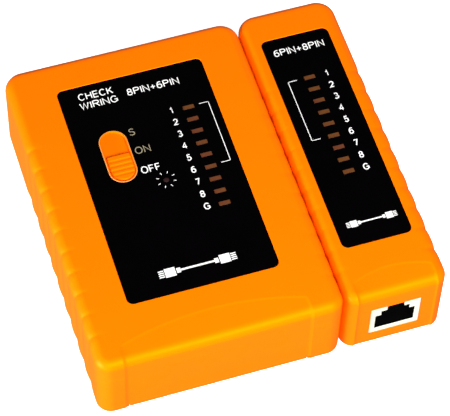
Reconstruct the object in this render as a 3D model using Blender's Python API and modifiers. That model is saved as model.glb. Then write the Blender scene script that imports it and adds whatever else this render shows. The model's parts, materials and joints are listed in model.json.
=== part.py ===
"""Network cable tester in two docked units.

The wide main unit drives the cable and the narrow remote unit answers at the other end. The remote
carries a T-shaped rail on its inner side, which slides in a channel in the main unit's side wall and
leaves it through the far end. The frame's origin is the middle of the footprint, on the surface that
the tester rests on. X runs from the main unit to the remote, +Y points to the far end and Z is up.
"""

import math

import bmesh
import bpy
from mathutils import Matrix, Vector

MM = 0.001
PAST = 1 * MM  # how far a cutter runs past the face that it opens

# Driving dimensions of the docked pair
TOTAL_WIDTH = 108 * MM
LENGTH = 110 * MM
HEIGHT = 27.5 * MM
MAIN_WIDTH = 75.85 * MM
SEAM_GAP = 0.3 * MM
REMOTE_WIDTH = TOTAL_WIDTH - MAIN_WIDTH - SEAM_GAP
MAIN_X = (MAIN_WIDTH - TOTAL_WIDTH) / 2
REMOTE_X = (TOTAL_WIDTH - REMOTE_WIDTH) / 2
NEAR_Y = -LENGTH / 2
FAR_Y = LENGTH / 2

# Casings
GAP = 0.3 * MM
WALL = 2.2 * MM
FLOOR = 2.2 * MM
PART_Z = 19.2 * MM
CORNER_RADIUS = 5 * MM
TOP_RADIUS = 3 * MM
BOTTOM_RADIUS = 1.2 * MM
CORNER_STEPS = 5
INNER_CORNER_STEPS = 3
CEILING_Z = HEIGHT - WALL

# Finger grip grooves on the long sides
GROOVES = 10
GROOVE_PITCH = 7.57 * MM
FIRST_GROOVE_Y = NEAR_Y + 11.5 * MM
GROOVE_DEPTH = 0.7 * MM
GROOVE_SHOULDER = 0.3  # depth of the run-out before the first groove, as a share of the full depth
RIB_STEPS = 3

# Scooped near end: a shallow recess in the end face and a conical cut on the top
END_RECESS = 0.5 * MM
SCOOP_SLOPE = 0.06
SCOOP_REACH = 10.9 * MM
SCOOP_RADIUS = 94 * MM
SCOOP_STEPS = 180
MAIN_SCOOP = (-30.5 * MM, 28.3 * MM)
REMOTE_SCOOP = (-12 * MM, 13 * MM)

# Labels on the top faces
LABEL_Y = 3.45 * MM
LABEL_LENGTH = 79.7 * MM
MAIN_LABEL_WIDTH = 46.7 * MM
REMOTE_LABEL_WIDTH = 22 * MM
LABEL_RADIUS = 2 * MM
LABEL_THICKNESS = 0.4 * MM
LABEL_BED = 0.7 * MM
LABEL_CORNER_STEPS = 4

# Circuit boards hang the jacks below them and stand the lamps on top
BOARD_THICKNESS = 1.6 * MM
BOARD_Z = PART_Z + 0.2 * MM
BOARD_TOP = BOARD_Z + BOARD_THICKNESS
MAIN_BOARD_Y = (-20.5 * MM, 52.3 * MM)
REMOTE_BOARD_Y = (-52 * MM, 52 * MM)
BOARD_SLACK = 1 * MM

# Row of lamps 1 to 8 and G
LAMP_NAMES = ("1", "2", "3", "4", "5", "6", "7", "8", "g")
LAMP_FIRST_Y = 26.3 * MM
LAMP_PITCH = 4.6 * MM
LAMP_SIZE = (5 * MM, 2 * MM)
LAMP_FLANGE = 0.3 * MM
LAMP_FLANGE_HEIGHT = 0.8 * MM
LAMP_TOP_Z = HEIGHT - LABEL_BED - 0.2 * MM
MAIN_LAMP_X = 14.35 * MM
REMOTE_LAMP_X = -0.3 * MM
POWER_LAMP_AT = (0, 2.5 * MM)
POWER_LAMP_RADIUS = 1.5 * MM

# Three-position power switch: off at the near end, then on, then slow
SWITCH_X = -11.6 * MM
SWITCH_Y = 14.85 * MM
SWITCH_WINDOW = (7.9 * MM, 18.4 * MM)
SWITCH_LIP = 0.5 * MM
KNOB_SIZE = (7 * MM, 9.4 * MM)
SWITCH_TRAVEL = 5.6 * MM
KNOB_END_GAP = 0.5 * MM
KNOB_OFF_Y = SWITCH_Y - (SWITCH_WINDOW[1] - KNOB_SIZE[1]) / 2 + KNOB_END_GAP
KNOB_TOP_Z = HEIGHT - 0.1 * MM
SLIDER_TOP_Z = CEILING_Z - GAP
SLIDER_THICKNESS = 0.9 * MM
SLIDER_WIDTH = 10.4 * MM
SLIDER_COVER = 1 * MM  # how far the slider reaches past the window at either end of its travel
SWITCH_BODY_SIZE = (6.6 * MM, 14.4 * MM)
WINDOW_STEPS = 6
KNOB_ROUND_STEPS = 8
KNOB_GROOVES = 4
KNOB_GROOVE_PITCH = 1.7 * MM
KNOB_GROOVE = (0.8 * MM, 0.5 * MM)

# Modular jacks: 8-contact and 6-contact, both with the latch side up
JACK_DEPTH = 15.5 * MM
JACK_SETBACK = 0.15 * MM
MOUTH_DEPTH = JACK_DEPTH - 2 * MM
EIGHT_WAY = {
    "ways": 8,
    "width": 15.8 * MM,
    "height": 13.7 * MM,
    "mouth": (11.9 * MM, 8.4 * MM, 5.2 * MM),
    "levels": (2 * MM, 9.2 * MM, 11.4 * MM),
}
SIX_WAY = {
    "ways": 6,
    "width": 13.2 * MM,
    "height": 11.9 * MM,
    "mouth": (9.8 * MM, 6.6 * MM, 4.2 * MM),
    "levels": (1.9 * MM, 8.6 * MM, 9.9 * MM),
}
CONTACT_PITCH = 1.02 * MM
CONTACT_WIRE = (0.45 * MM, 0.35 * MM)
CONTACT_TIP = (1.8 * MM, 0.55 * MM)
CONTACT_ROOT_HEIGHT = 2.6 * MM
CARRIER_DEPTH = 2.1 * MM
MAIN_EIGHT_WAY_X = -12 * MM
MAIN_SIX_WAY_X = 11 * MM

# Rail on the remote and its channel in the main unit's side
RAIL_Y = (-43.7 * MM, 50 * MM)
RAIL_NECK_Z = (8 * MM, 13 * MM)
RAIL_HEAD_Z = (6 * MM, 15 * MM)
RAIL_NECK_REACH = 2.9 * MM
RAIL_HEAD_THICKNESS = 1.9 * MM
CHANNEL_WALL = 1.8 * MM

# Parts that hang below the main board
CHIP_WIDTH = 6.4 * MM
CHIP_BODY_Z = (-4 * MM, -0.8 * MM)
CHIP_PIN = (0.7 * MM, 0.5 * MM)
CHIP_PIN_FOOT = -2.6 * MM
CHIP_PIN_PITCH = 2.54 * MM
COUNTER_CHIP = (19.3 * MM, (-18 * MM, 8 * MM, BOARD_Z))
TIMER_CHIP = (9.5 * MM, (8 * MM, 14 * MM, BOARD_Z))
CAPACITOR_SIZE = (2.5 * MM, 7 * MM)
CAPACITOR_AT = (-2 * MM, -4 * MM, BOARD_Z)

# 9 V battery lying across the near end, its snap clip and its sliding door
BATTERY_SIZE = (48.5 * MM, 26.5 * MM, 17.5 * MM)
BATTERY_AT = (-2.8 * MM, -38.2 * MM, 2.5 * MM)
BATTERY_BAY_X = (-27.6 * MM, 28.2 * MM)
BATTERY_BAY_Y = (NEAR_Y + WALL, -23.6 * MM)
BATTERY_EDGE = 2 * MM
BAY_WALL = 1.4 * MM
LEAD_NOTCH_X = (20 * MM, 26.5 * MM)
LEAD_NOTCH_FLOOR = 15 * MM
TERMINAL_HEIGHT = 2.2 * MM
TERMINAL_SPREAD = 6.35 * MM
POSITIVE_RADIUS = 2.8 * MM
NEGATIVE_RADIUS = 3.8 * MM
CLIP_SIZE = (4.6 * MM, 25 * MM, 12.7 * MM)
DOOR_X = (-28.6 * MM, 27 * MM)
DOOR_FAR_Y = -20.8 * MM
DOOR_Z = (0.3 * MM, 1.9 * MM)
DOOR_TONGUE = 0.9 * MM
DOOR_TONGUE_Z = (1.1 * MM, 1.9 * MM)
DOOR_RIDGES = 5
DOOR_RIDGE_PITCH = 1.8 * MM
DOOR_RIDGE_X = (-8 * MM, 6.4 * MM)
DOOR_RIDGE_START = 5 * MM
DOOR_RIDGE_DEPTH = 0.5 * MM
LEAD_RADIUS = 0.7 * MM
LEADS = (("lead_red", 25.2 * MM), ("lead_black", 23.2 * MM))
LEAD_STEPS = 3

# Screws, driven from below through posts in the bottom cases
POST_RADIUS = 3.9 * MM
BOSS_RADIUS = 3 * MM
HEAD_BORE = 2.7 * MM
HEAD_BORE_TOP = 9 * MM
SHANK_BORE = 1.5 * MM
SCREW_HEAD = (2.3 * MM, 1.6 * MM)
SCREW_SHANK_RADIUS = 1.2 * MM
SCREW_LENGTH = 15 * MM
SCREW_TIP = 1.5 * MM
CROSS_RECESS = (1.3 * MM, 0.3 * MM, 0.9 * MM)
MAIN_POSTS = (
    (-33.2 * MM, -48.2 * MM),
    (33.2 * MM, -49.6 * MM),
    (-32.6 * MM, 47.5 * MM),
    (25.5 * MM, 47.5 * MM),
)
REMOTE_POSTS = ((0, -26 * MM), (0, 33.6 * MM))
MAIN_BOARD_RESTS = ((-31 * MM, -16 * MM), (26 * MM, -16 * MM))
REMOTE_BOARD_RESTS = ((-9 * MM, 4 * MM), (9 * MM, 4 * MM))
REST_RADIUS = 2 * MM
BORE_STEPS = 12
POST_STEPS = 24
ROUND_STEPS = 16
SMOOTH_ANGLE = math.radians(40)

MATERIALS = {
    "orange_abs": ((0.98, 0.262, 0.0), 0.32, 0.0),
    "label_film": ((0.0015, 0.0015, 0.002), 0.28, 0.0),
    "lamp_lens": ((0.36, 0.03, 0.015), 0.2, 0.0),
    "circuit_board": ((0.02, 0.16, 0.05), 0.45, 0.0),
    "jack_housing": ((0.93, 0.91, 0.8), 0.4, 0.0),
    "contact_gold": ((0.83, 0.6, 0.22), 0.25, 1.0),
    "steel": ((0.6, 0.6, 0.62), 0.3, 1.0),
    "chip_black": ((0.012, 0.012, 0.014), 0.5, 0.0),
    "battery_jacket": ((0.03, 0.05, 0.12), 0.35, 0.0),
    "lead_red": ((0.55, 0.01, 0.01), 0.45, 0.0),
    "lead_black": ((0.01, 0.01, 0.01), 0.45, 0.0),
    "capacitor_sleeve": ((0.02, 0.03, 0.15), 0.35, 0.0),
}


# --- scene and object helpers ---------------------------------------------------------------------


def clear_scene():
    for old in list(bpy.data.objects):
        bpy.data.objects.remove(old, do_unlink=True)


def new_collection(name):
    collection = bpy.data.collections.new(name)
    bpy.context.scene.collection.children.link(collection)
    return collection


def material(name):
    """The named Principled material, made the first time it is asked for."""
    found = bpy.data.materials.get(name)
    if found:
        return found
    color, roughness, metallic = MATERIALS[name]
    made = bpy.data.materials.new(name)
    made.use_nodes = True
    shader = made.node_tree.nodes["Principled BSDF"]
    shader.inputs["Base Color"].default_value = (*color, 1)
    shader.inputs["Roughness"].default_value = roughness
    shader.inputs["Metallic"].default_value = metallic
    return made


def mesh_of(name, build, smooth=False):
    """A mesh from a function that fills a bmesh. A round piece is shaded smooth up to its edges."""
    bm = bmesh.new()
    build(bm)
    mesh = bpy.data.meshes.new(name)
    bm.to_mesh(mesh)
    bm.free()
    if smooth:
        mesh.shade_smooth()
        mesh.set_sharp_from_angle(angle=SMOOTH_ANGLE)
    return mesh


def place(name, mesh, finish, parent, location=(0, 0, 0), turn=0.0):
    """An object in the parts collection, turned about Z by an angle."""
    obj = bpy.data.objects.new(name, mesh)
    parts.objects.link(obj)
    obj.parent = parent
    obj.location = location
    obj.rotation_euler.z = turn
    if not mesh.materials:
        mesh.materials.append(material(finish))
    return obj


def combine(target, operation, build, overlapping=False):
    """A Boolean with a helper shape, which shares the target's place and parent.

    overlapping says that the helper's own boxes run into one another.
    """
    helper = bpy.data.objects.new(f"{target.name}_{operation.lower()}", mesh_of("helper", build))
    cutters.objects.link(helper)
    helper.parent = target.parent
    helper.location = target.location
    helper.rotation_euler = target.rotation_euler
    helper.hide_render = True
    helper.display_type = "WIRE"
    modifier = target.modifiers.new(operation.title(), "BOOLEAN")
    modifier.operation = operation
    modifier.object = helper
    modifier.solver = "EXACT"
    modifier.use_self = overlapping
    return helper


def baked_mesh(obj):
    """The object's evaluated mesh, so that copies can share it. The object is removed."""
    graph = bpy.context.evaluated_depsgraph_get()
    mesh = bpy.data.meshes.new_from_object(obj.evaluated_get(graph))
    bpy.data.objects.remove(obj, do_unlink=True)
    return mesh


def empty(name, location, parent=None):
    obj = bpy.data.objects.new(name, None)
    parts.objects.link(obj)
    obj.parent = parent
    obj.location = location
    return obj


# --- shape helpers, which add to a bmesh ----------------------------------------------------------


def add_box(bm, x, y, z):
    """A box between (low, high) pairs."""
    spans = [Vector((low, high)) for low, high in (x, y, z)]
    middle = Vector([(span[0] + span[1]) / 2 for span in spans])
    size = [span[1] - span[0] for span in spans]
    matrix = Matrix.Translation(middle) @ Matrix.Diagonal((*size, 1))
    bmesh.ops.create_cube(bm, size=1, matrix=matrix)


def add_cylinder(bm, radius, at, z, segments=20, tip_radius=None):
    """An upright cylinder or cone between two heights."""
    middle = Matrix.Translation((at[0], at[1], (z[0] + z[1]) / 2))
    tip = radius if tip_radius is None else tip_radius
    bmesh.ops.create_cone(
        bm, cap_ends=True, segments=segments, radius1=radius, radius2=tip, depth=z[1] - z[0], matrix=middle
    )


def add_loft(bm, rows):
    """A closed solid through rows of points, each row with the same count, from low to high."""
    loops = [[bm.verts.new(point) for point in row] for row in rows]
    for below, above in zip(loops, loops[1:]):
        for i in range(len(below)):
            j = (i + 1) % len(below)
            bm.faces.new((below[i], below[j], above[j], above[i]))
    bm.faces.new(loops[0][::-1])
    bm.faces.new(loops[-1])


def add_prism(bm, outline, z):
    """A flat outline, counter-clockwise from above, between two heights."""
    add_loft(bm, [[(px, py, height) for px, py in outline] for height in z])


def arc(centre, radius, start, end, steps):
    """Points on an arc, with angles in quarter turns."""
    angles = [(start + (end - start) * i / steps) * math.pi / 2 for i in range(steps + 1)]
    return [(centre[0] + radius * math.cos(a), centre[1] + radius * math.sin(a)) for a in angles]


def rounded_outline(width, length, radius, steps, at=(0, 0)):
    """A rectangle with round corners. A radius of half the width gives a stadium."""
    a, b = width / 2 - radius, length / 2 - radius
    corners = ((a, -b, -1), (a, b, 0), (-a, b, 1), (-a, -b, 2))
    points = []
    for x, y, quarter in corners:
        points += arc((at[0] + x, at[1] + y), radius, quarter, quarter + 1, steps)
    unique = [p for i, p in enumerate(points) if math.dist(p, points[i - 1]) > 1e-7]
    return unique


def stadium(width, length, steps, at):
    return rounded_outline(width, length, width / 2, steps, at)


# --- casings --------------------------------------------------------------------------------------


def groove_stations():
    """Places along a long side, from near to far, and how far each stands below the crest."""
    last = FIRST_GROOVE_Y + (GROOVES - 1) * GROOVE_PITCH
    stations = [(FIRST_GROOVE_Y - GROOVE_PITCH / 2, 0.0)]
    stations.append((FIRST_GROOVE_Y - GROOVE_PITCH / 4, GROOVE_SHOULDER))
    for k in range(GROOVES):
        valley = FIRST_GROOVE_Y + k * GROOVE_PITCH
        stations.append((valley, 1.0))
        for i in range(1, RIB_STEPS):
            if k < GROOVES - 1:
                t = i / RIB_STEPS
                stations.append((valley + t * GROOVE_PITCH, 1 - math.sin(math.pi * t)))
    return stations + [(last + GROOVE_PITCH / 4, GROOVE_SHOULDER), (last + GROOVE_PITCH / 2, 0.0)]


def casing_row(width, scoop, inset, grip, z):
    """One level of a casing's outside. The grip runs from 0 for smooth sides to 1 for full grooves."""
    half_x, half_y = width / 2 - inset, LENGTH / 2 - inset
    radius = max(CORNER_RADIUS - inset, MM)
    cx, cy = half_x - radius, half_y - radius
    stations = groove_stations()
    row = arc((-cx, -cy), radius, 2, 3, CORNER_STEPS)
    start, end = max(scoop[0], 2 * GAP - cx), min(scoop[1], cx - 2 * GAP)
    for x, recessed in ((start - GAP, 0), (start, 1), (end, 1), (end + GAP, 0)):
        row.append((x, -half_y + recessed * END_RECESS))
    row += arc((cx, -cy), radius, -1, 0, CORNER_STEPS)
    row += [(half_x - grip * GROOVE_DEPTH * depth, y) for y, depth in stations]
    row += arc((cx, cy), radius, 0, 1, CORNER_STEPS)
    row += arc((-cx, cy), radius, 1, 2, CORNER_STEPS)
    row += [(-half_x + grip * GROOVE_DEPTH * depth, y) for y, depth in reversed(stations)]
    return [(x, y, z) for x, y in row]


def add_top_outside(bm, width, scoop):
    """From the parting plane up the side wall and over the rounded edge."""
    shoulder = HEIGHT - TOP_RADIUS
    rows = [casing_row(width, scoop, 0, 1, PART_Z + GAP / 2), casing_row(width, scoop, 0, 1, shoulder)]
    for step, grip in ((1, 1.0), (2, 0.7), (3, 0.0)):
        angle = step * math.pi / 6
        inset = TOP_RADIUS * (1 - math.cos(angle))
        rows.append(casing_row(width, scoop, inset, grip, shoulder + TOP_RADIUS * math.sin(angle)))
    add_loft(bm, rows)


def add_bottom_outside(bm, width, scoop):
    """From the rounded lower edge up the side wall to the parting plane."""
    chord = BOTTOM_RADIUS * (1 - math.sqrt(0.5))
    rows = [casing_row(width, scoop, BOTTOM_RADIUS, 0.5, 0)]
    rows.append(casing_row(width, scoop, chord, 1, chord))
    rows.append(casing_row(width, scoop, 0, 1, BOTTOM_RADIUS))
    rows.append(casing_row(width, scoop, 0, 1, PART_Z - GAP / 2))
    add_loft(bm, rows)


def add_cavity(bm, width, z):
    inner = rounded_outline(width - 2 * WALL, LENGTH - 2 * WALL, CORNER_RADIUS - WALL, INNER_CORNER_STEPS)
    add_prism(bm, inner, z)


def add_scoop(bm, scoop):
    """The conical cut that leaves an arc-shaped crease across the near end of the top."""
    tip_radius = 1 * MM
    tip_z = HEIGHT - (SCOOP_RADIUS - tip_radius) * SCOOP_SLOPE
    apex = ((scoop[0] + scoop[1]) / 2, NEAR_Y + SCOOP_REACH - SCOOP_RADIUS)
    rim_radius = SCOOP_RADIUS + PAST / SCOOP_SLOPE
    add_cylinder(bm, tip_radius, apex, (tip_z, HEIGHT + PAST), SCOOP_STEPS, rim_radius)


def cut_scoop(case, scoop):
    """The cone is first kept to the width of the scoop, then cut from the case."""
    cone = combine(case, "DIFFERENCE", lambda bm: add_scoop(bm, scoop))
    high = (HEIGHT - 3 * MM, HEIGHT + 2 * MM)
    near = (NEAR_Y - 5 * MM, NEAR_Y + 15 * MM)
    combine(cone, "INTERSECT", lambda bm: add_box(bm, scoop, near, high))


def lamp_y(index):
    return LAMP_FIRST_Y - index * LAMP_PITCH


def add_lamp_slots(bm, lamp_x):
    slack = 2 * GAP
    for index in range(len(LAMP_NAMES)):
        x = (lamp_x - (LAMP_SIZE[0] + slack) / 2, lamp_x + (LAMP_SIZE[0] + slack) / 2)
        y = (lamp_y(index) - (LAMP_SIZE[1] + slack) / 2, lamp_y(index) + (LAMP_SIZE[1] + slack) / 2)
        add_box(bm, x, y, (CEILING_Z - PAST, HEIGHT - LABEL_BED + GAP))


def add_label_bed(bm, width):
    """The shallow pocket that the label lies in."""
    size = (width + 2 * GAP, LABEL_LENGTH + 2 * GAP)
    outline = rounded_outline(*size, LABEL_RADIUS + GAP, LABEL_CORNER_STEPS, (0, LABEL_Y))
    add_prism(bm, outline, (HEIGHT - LABEL_BED, HEIGHT + PAST))


def top_case(name, width, scoop, posts, board_y, label_width, lamp_x, parent):
    """A shallow upper shell with a label bed, lamp slots and screw bosses."""
    case = place(name, mesh_of(name, lambda bm: add_top_outside(bm, width, scoop)), "orange_abs", parent)
    combine(case, "DIFFERENCE", lambda bm: add_cavity(bm, width, (PART_Z - PAST, CEILING_Z)))

    def add_bosses(bm):
        for x, y in posts:
            over_board = board_y[0] - POST_RADIUS < y < board_y[1] + POST_RADIUS
            foot = BOARD_TOP + GAP if over_board else PART_Z + GAP
            add_cylinder(bm, BOSS_RADIUS, (x, y), (foot, CEILING_Z + WALL / 2))

    combine(case, "UNION", add_bosses)

    def add_bores(bm):
        for x, y in posts:
            add_cylinder(bm, SHANK_BORE, (x, y), (PART_Z, CEILING_Z - GAP), BORE_STEPS)

    combine(case, "DIFFERENCE", add_bores)
    combine(case, "DIFFERENCE", lambda bm: add_label_bed(bm, label_width))
    combine(case, "DIFFERENCE", lambda bm: add_lamp_slots(bm, lamp_x))
    cut_scoop(case, scoop)
    return case


def add_posts(bm, posts, rests):
    for x, y in posts:
        add_cylinder(bm, POST_RADIUS, (x, y), (FLOOR / 2, BOARD_Z - GAP), POST_STEPS)
    for x, y in rests:
        add_cylinder(bm, REST_RADIUS, (x, y), (FLOOR / 2, BOARD_Z - GAP), BORE_STEPS)


def add_screw_bores(bm, posts):
    for x, y in posts:
        add_cylinder(bm, HEAD_BORE, (x, y), (-PAST, HEAD_BORE_TOP))
        add_cylinder(bm, SHANK_BORE, (x, y), (HEAD_BORE_TOP + GAP / 3, BOARD_Z + PAST), BORE_STEPS)


def add_bore_steps(bm, posts):
    """Joins each head bore to its shank bore."""
    for x, y in posts:
        add_cylinder(bm, SHANK_BORE, (x, y), (HEAD_BORE_TOP - PAST, HEAD_BORE_TOP + PAST), BORE_STEPS)


def jack_slot(bm, kind, x, y):
    """An open-topped slot in an end wall, for a jack's front."""
    half = kind["width"] / 2 + GAP
    bottom = BOARD_Z - GAP - kind["height"] - GAP
    add_box(bm, (x - half, x + half), y, (bottom, PART_Z + PAST))


# --- modular jacks --------------------------------------------------------------------------------


def mouth_outline(kind):
    """The stepped plug opening, seen from the front: plug body, shoulders, then the latch notch."""
    body, shoulder, notch = (half / 2 for half in kind["mouth"])
    low, step, top = kind["levels"]
    over = kind["height"] + PAST
    right = [(body, low), (body, step), (shoulder, step), (shoulder, top), (notch, top), (notch, over)]
    return right + [(-x, z) for x, z in reversed(right)]


def jack(name, kind, parent, location, turn):
    """A housing whose front faces -Y, with its bottom at the object's origin."""
    half = kind["width"] / 2

    def add_body(bm):
        add_box(bm, (-half, half), (0, JACK_DEPTH), (0, kind["height"]))

    def add_mouth(bm):
        rows = [[(x, y, z) for x, z in mouth_outline(kind)] for y in (MOUTH_DEPTH, -PAST)]
        add_loft(bm, rows)

    housing = place(name, mesh_of(name, add_body), "jack_housing", parent, location, turn)
    combine(housing, "DIFFERENCE", add_mouth)


def jack_contacts(name, kind, parent, location, turn):
    """Spring wires that rise from the mouth's floor to a carrier block at its back."""
    low, step, _ = kind["levels"]
    half = kind["mouth"][0] / 2 - GAP
    carrier_y = (MOUTH_DEPTH - GAP - CARRIER_DEPTH, MOUTH_DEPTH - GAP)
    front, front_z = CONTACT_TIP[0], low + CONTACT_TIP[1]
    back, back_z = carrier_y[0] + 2 * GAP, low + CONTACT_ROOT_HEIGHT
    reach = math.hypot(back - front, back_z - front_z)
    slope = math.atan2(back_z - front_z, back - front)

    def add_carrier(bm):
        add_box(bm, (-half, half), carrier_y, (low + GAP, step - GAP))

    def add_wires(bm):
        for way in range(kind["ways"]):
            x = (way - (kind["ways"] - 1) / 2) * CONTACT_PITCH
            middle = Matrix.Translation((x, (front + back) / 2, (front_z + back_z) / 2))
            size = Matrix.Diagonal((CONTACT_WIRE[0], reach, CONTACT_WIRE[1], 1))
            bmesh.ops.create_cube(bm, size=1, matrix=middle @ Matrix.Rotation(slope, 4, "X") @ size)

    wires = place(name, mesh_of(name, add_carrier), "contact_gold", parent, location, turn)
    combine(wires, "UNION", add_wires)


def jack_with_contacts(unit, label, kind, parent, x, front_y, facing_near):
    """Front at front_y. A jack at the far end is turned half a turn."""
    turn = 0.0 if facing_near else math.pi
    location = (x, front_y, BOARD_Z - GAP - kind["height"])
    jack(f"{unit}_{label}_jack", kind, parent, location, turn)
    jack_contacts(f"{unit}_{label}_contacts", kind, parent, location, turn)


# --- small parts ----------------------------------------------------------------------------------


def lamp_mesh():
    """A rectangular lamp with a flange at its foot."""
    half_x, half_y = LAMP_SIZE[0] / 2, LAMP_SIZE[1] / 2
    foot = BOARD_TOP + GAP
    flange_top = foot + LAMP_FLANGE_HEIGHT

    def row(grow, z):
        a, b = half_x + grow, half_y + grow
        return [(-a, -b, z), (a, -b, z), (a, b, z), (-a, b, z)]

    def build(bm):
        flange = [row(LAMP_FLANGE, foot), row(LAMP_FLANGE, flange_top)]
        add_loft(bm, [*flange, row(0, flange_top), row(0, LAMP_TOP_Z)])

    return mesh_of("lamp", build)


def turned_object(name, profile, finish, steps):
    """A profile of (radius, height), from the top down, swept round Z by a Screw modifier."""
    mesh = bpy.data.meshes.new(name)
    edges = [(i, i + 1) for i in range(len(profile) - 1)]
    mesh.from_pydata([(radius, 0, z) for radius, z in profile], edges, [])
    mesh.materials.append(material(finish))
    obj = bpy.data.objects.new(name, mesh)
    parts.objects.link(obj)
    screw = obj.modifiers.new("Turn", "SCREW")
    screw.steps = screw.render_steps = steps
    screw.use_merge_vertices = True
    screw.merge_threshold = GAP / 30
    return obj


def screw_mesh():
    """A pan-head case screw with its head down and a cross recess in the head."""
    head_radius, head_height = SCREW_HEAD
    profile = [
        (0, SCREW_LENGTH),
        (SCREW_SHANK_RADIUS * 0.4, SCREW_LENGTH),
        (SCREW_SHANK_RADIUS, SCREW_LENGTH - SCREW_TIP),
        (SCREW_SHANK_RADIUS, head_height),
        (head_radius, head_height),
        (head_radius, head_height * 0.45),
        (head_radius * 0.75, 0.1 * MM),
        (0, 0),
    ]
    shape = turned_object("screw_shape", profile, "steel", 20)
    arm, slot, depth = CROSS_RECESS

    def add_cross(bm):
        corners = [(arm, slot), (slot, slot), (slot, arm)]
        outline = []
        for quarter in range(4):
            turn = Matrix.Rotation(quarter * math.pi / 2, 2)
            outline += [tuple(turn @ Vector(corner)) for corner in corners]
        add_prism(bm, outline, (-PAST, depth))

    combine(shape, "DIFFERENCE", add_cross)
    return baked_mesh(shape)


def screws(unit, posts, mesh, parent):
    head_z = HEAD_BORE_TOP - GAP - SCREW_HEAD[1]
    for number, (x, y) in enumerate(posts, 1):
        place(f"{unit}_case_screw_{number}", mesh, "steel", parent, (x, y, head_z))


def lamps(unit, mesh, x, parent):
    for index, name in enumerate(LAMP_NAMES):
        place(f"{unit}_led_{name}", mesh, "lamp_lens", parent, (x, lamp_y(index), 0))


def label(name, width, parent, hole=None):
    """A thin film in its bed. The main label is cut out round the switch window's lip."""

    def build(bm):
        outline = rounded_outline(width, LABEL_LENGTH, LABEL_RADIUS, LABEL_CORNER_STEPS, (0, LABEL_Y))
        add_prism(bm, outline, (HEIGHT - LABEL_THICKNESS, HEIGHT))

    film = place(name, mesh_of(name, build), "label_film", parent)
    if hole:
        combine(film, "DIFFERENCE", hole)


def board(name, width, span_y, holes, parent):
    """A bare board with clearance holes for the case screws."""

    def build(bm):
        middle = (0, (span_y[0] + span_y[1]) / 2)
        size = (width, span_y[1] - span_y[0])
        outline = rounded_outline(*size, CORNER_RADIUS - WALL, INNER_CORNER_STEPS, middle)
        add_prism(bm, outline, (BOARD_Z, BOARD_TOP))

    def add_holes(bm):
        for x, y in holes:
            add_cylinder(bm, SHANK_BORE + GAP, (x, y), (BOARD_Z - PAST, BOARD_TOP + PAST), BORE_STEPS)

    plate = place(name, mesh_of(name, build), "circuit_board", parent)
    combine(plate, "DIFFERENCE", add_holes)


def chip(name, length, parent, location):
    """A dual in-line package hung below the board, with a row of pins down each long side."""
    half_x, half_y = CHIP_WIDTH / 2, length / 2
    reach, pin_width = CHIP_PIN
    pins = int(length // CHIP_PIN_PITCH)

    def add_body(bm):
        add_box(bm, (-half_x, half_x), (-half_y, half_y), CHIP_BODY_Z)

    def add_pins(bm):
        for pin in range(pins):
            y = (pin - (pins - 1) / 2) * CHIP_PIN_PITCH
            span = (y - pin_width / 2, y + pin_width / 2)
            for side in (-1, 1):
                x = sorted((side * (half_x - pin_width), side * (half_x + reach)))
                add_box(bm, x, span, (CHIP_PIN_FOOT, -GAP))

    package = place(name, mesh_of(name, add_body), "chip_black", parent, location)
    combine(package, "UNION", add_pins)


def capacitor(name, parent, location):
    """A small electrolytic can hung below the board."""
    radius, height = CAPACITOR_SIZE

    def build(bm):
        add_cylinder(bm, radius, (0, 0), (-height, -GAP), POST_STEPS)

    place(name, mesh_of(name, build, True), "capacitor_sleeve", parent, location)


def lead(name, finish, points, parent):
    """A round wire through its points, read from a smooth curve through them."""
    smooth = []
    count = len(points)
    for i in range(count - 1):
        p0, p1, p2, p3 = (Vector(points[min(max(j, 0), count - 1)]) for j in (i - 1, i, i + 1, i + 2))
        for step in range(LEAD_STEPS):
            t = step / LEAD_STEPS
            a, b = 2 * p1, p2 - p0
            c, d = 2 * p0 - 5 * p1 + 4 * p2 - p3, 3 * p1 - p0 - 3 * p2 + p3
            smooth.append((a + b * t + c * t * t + d * t**3) / 2)
    smooth.append(Vector(points[-1]))
    curve = bpy.data.curves.new(name, "CURVE")
    curve.dimensions = "3D"
    curve.bevel_depth = LEAD_RADIUS
    curve.bevel_resolution = 1
    curve.use_fill_caps = True
    spline = curve.splines.new("POLY")
    spline.points.add(len(smooth) - 1)
    for point, at in zip(spline.points, smooth):
        point.co = (*at, 1)
    curve.materials.append(material(finish))
    wire = bpy.data.objects.new(name, curve)
    parts.objects.link(wire)
    wire.parent = parent


# --- main unit ------------------------------------------------------------------------------------


def main_top_case(unit):
    case = top_case(
        "main_top_case",
        MAIN_WIDTH,
        MAIN_SCOOP,
        MAIN_POSTS,
        MAIN_BOARD_Y,
        MAIN_LABEL_WIDTH,
        MAIN_LAMP_X,
        unit,
    )
    at = (SWITCH_X, SWITCH_Y)
    lip = (SWITCH_WINDOW[0] + 2 * SWITCH_LIP, SWITCH_WINDOW[1] + 2 * SWITCH_LIP)

    def add_lip(bm):
        add_prism(bm, stadium(*lip, WINDOW_STEPS, at), (HEIGHT - LABEL_BED - GAP, HEIGHT))

    def add_windows(bm):
        through = (CEILING_Z - PAST, HEIGHT + PAST)
        add_prism(bm, stadium(*SWITCH_WINDOW, WINDOW_STEPS, at), through)
        add_cylinder(bm, POWER_LAMP_RADIUS + GAP, POWER_LAMP_AT, through, ROUND_STEPS)

    combine(case, "UNION", add_lip)
    combine(case, "DIFFERENCE", add_windows)


def channel_spans():
    """The rail channel's X limits in the main unit: outer wall, slot bottom and chamber bottom."""
    outer = MAIN_WIDTH / 2
    chamber_outer = outer + SEAM_GAP - RAIL_NECK_REACH + GAP
    chamber_inner = chamber_outer - RAIL_HEAD_THICKNESS - 2 * GAP
    return outer, chamber_outer, chamber_inner


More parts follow.
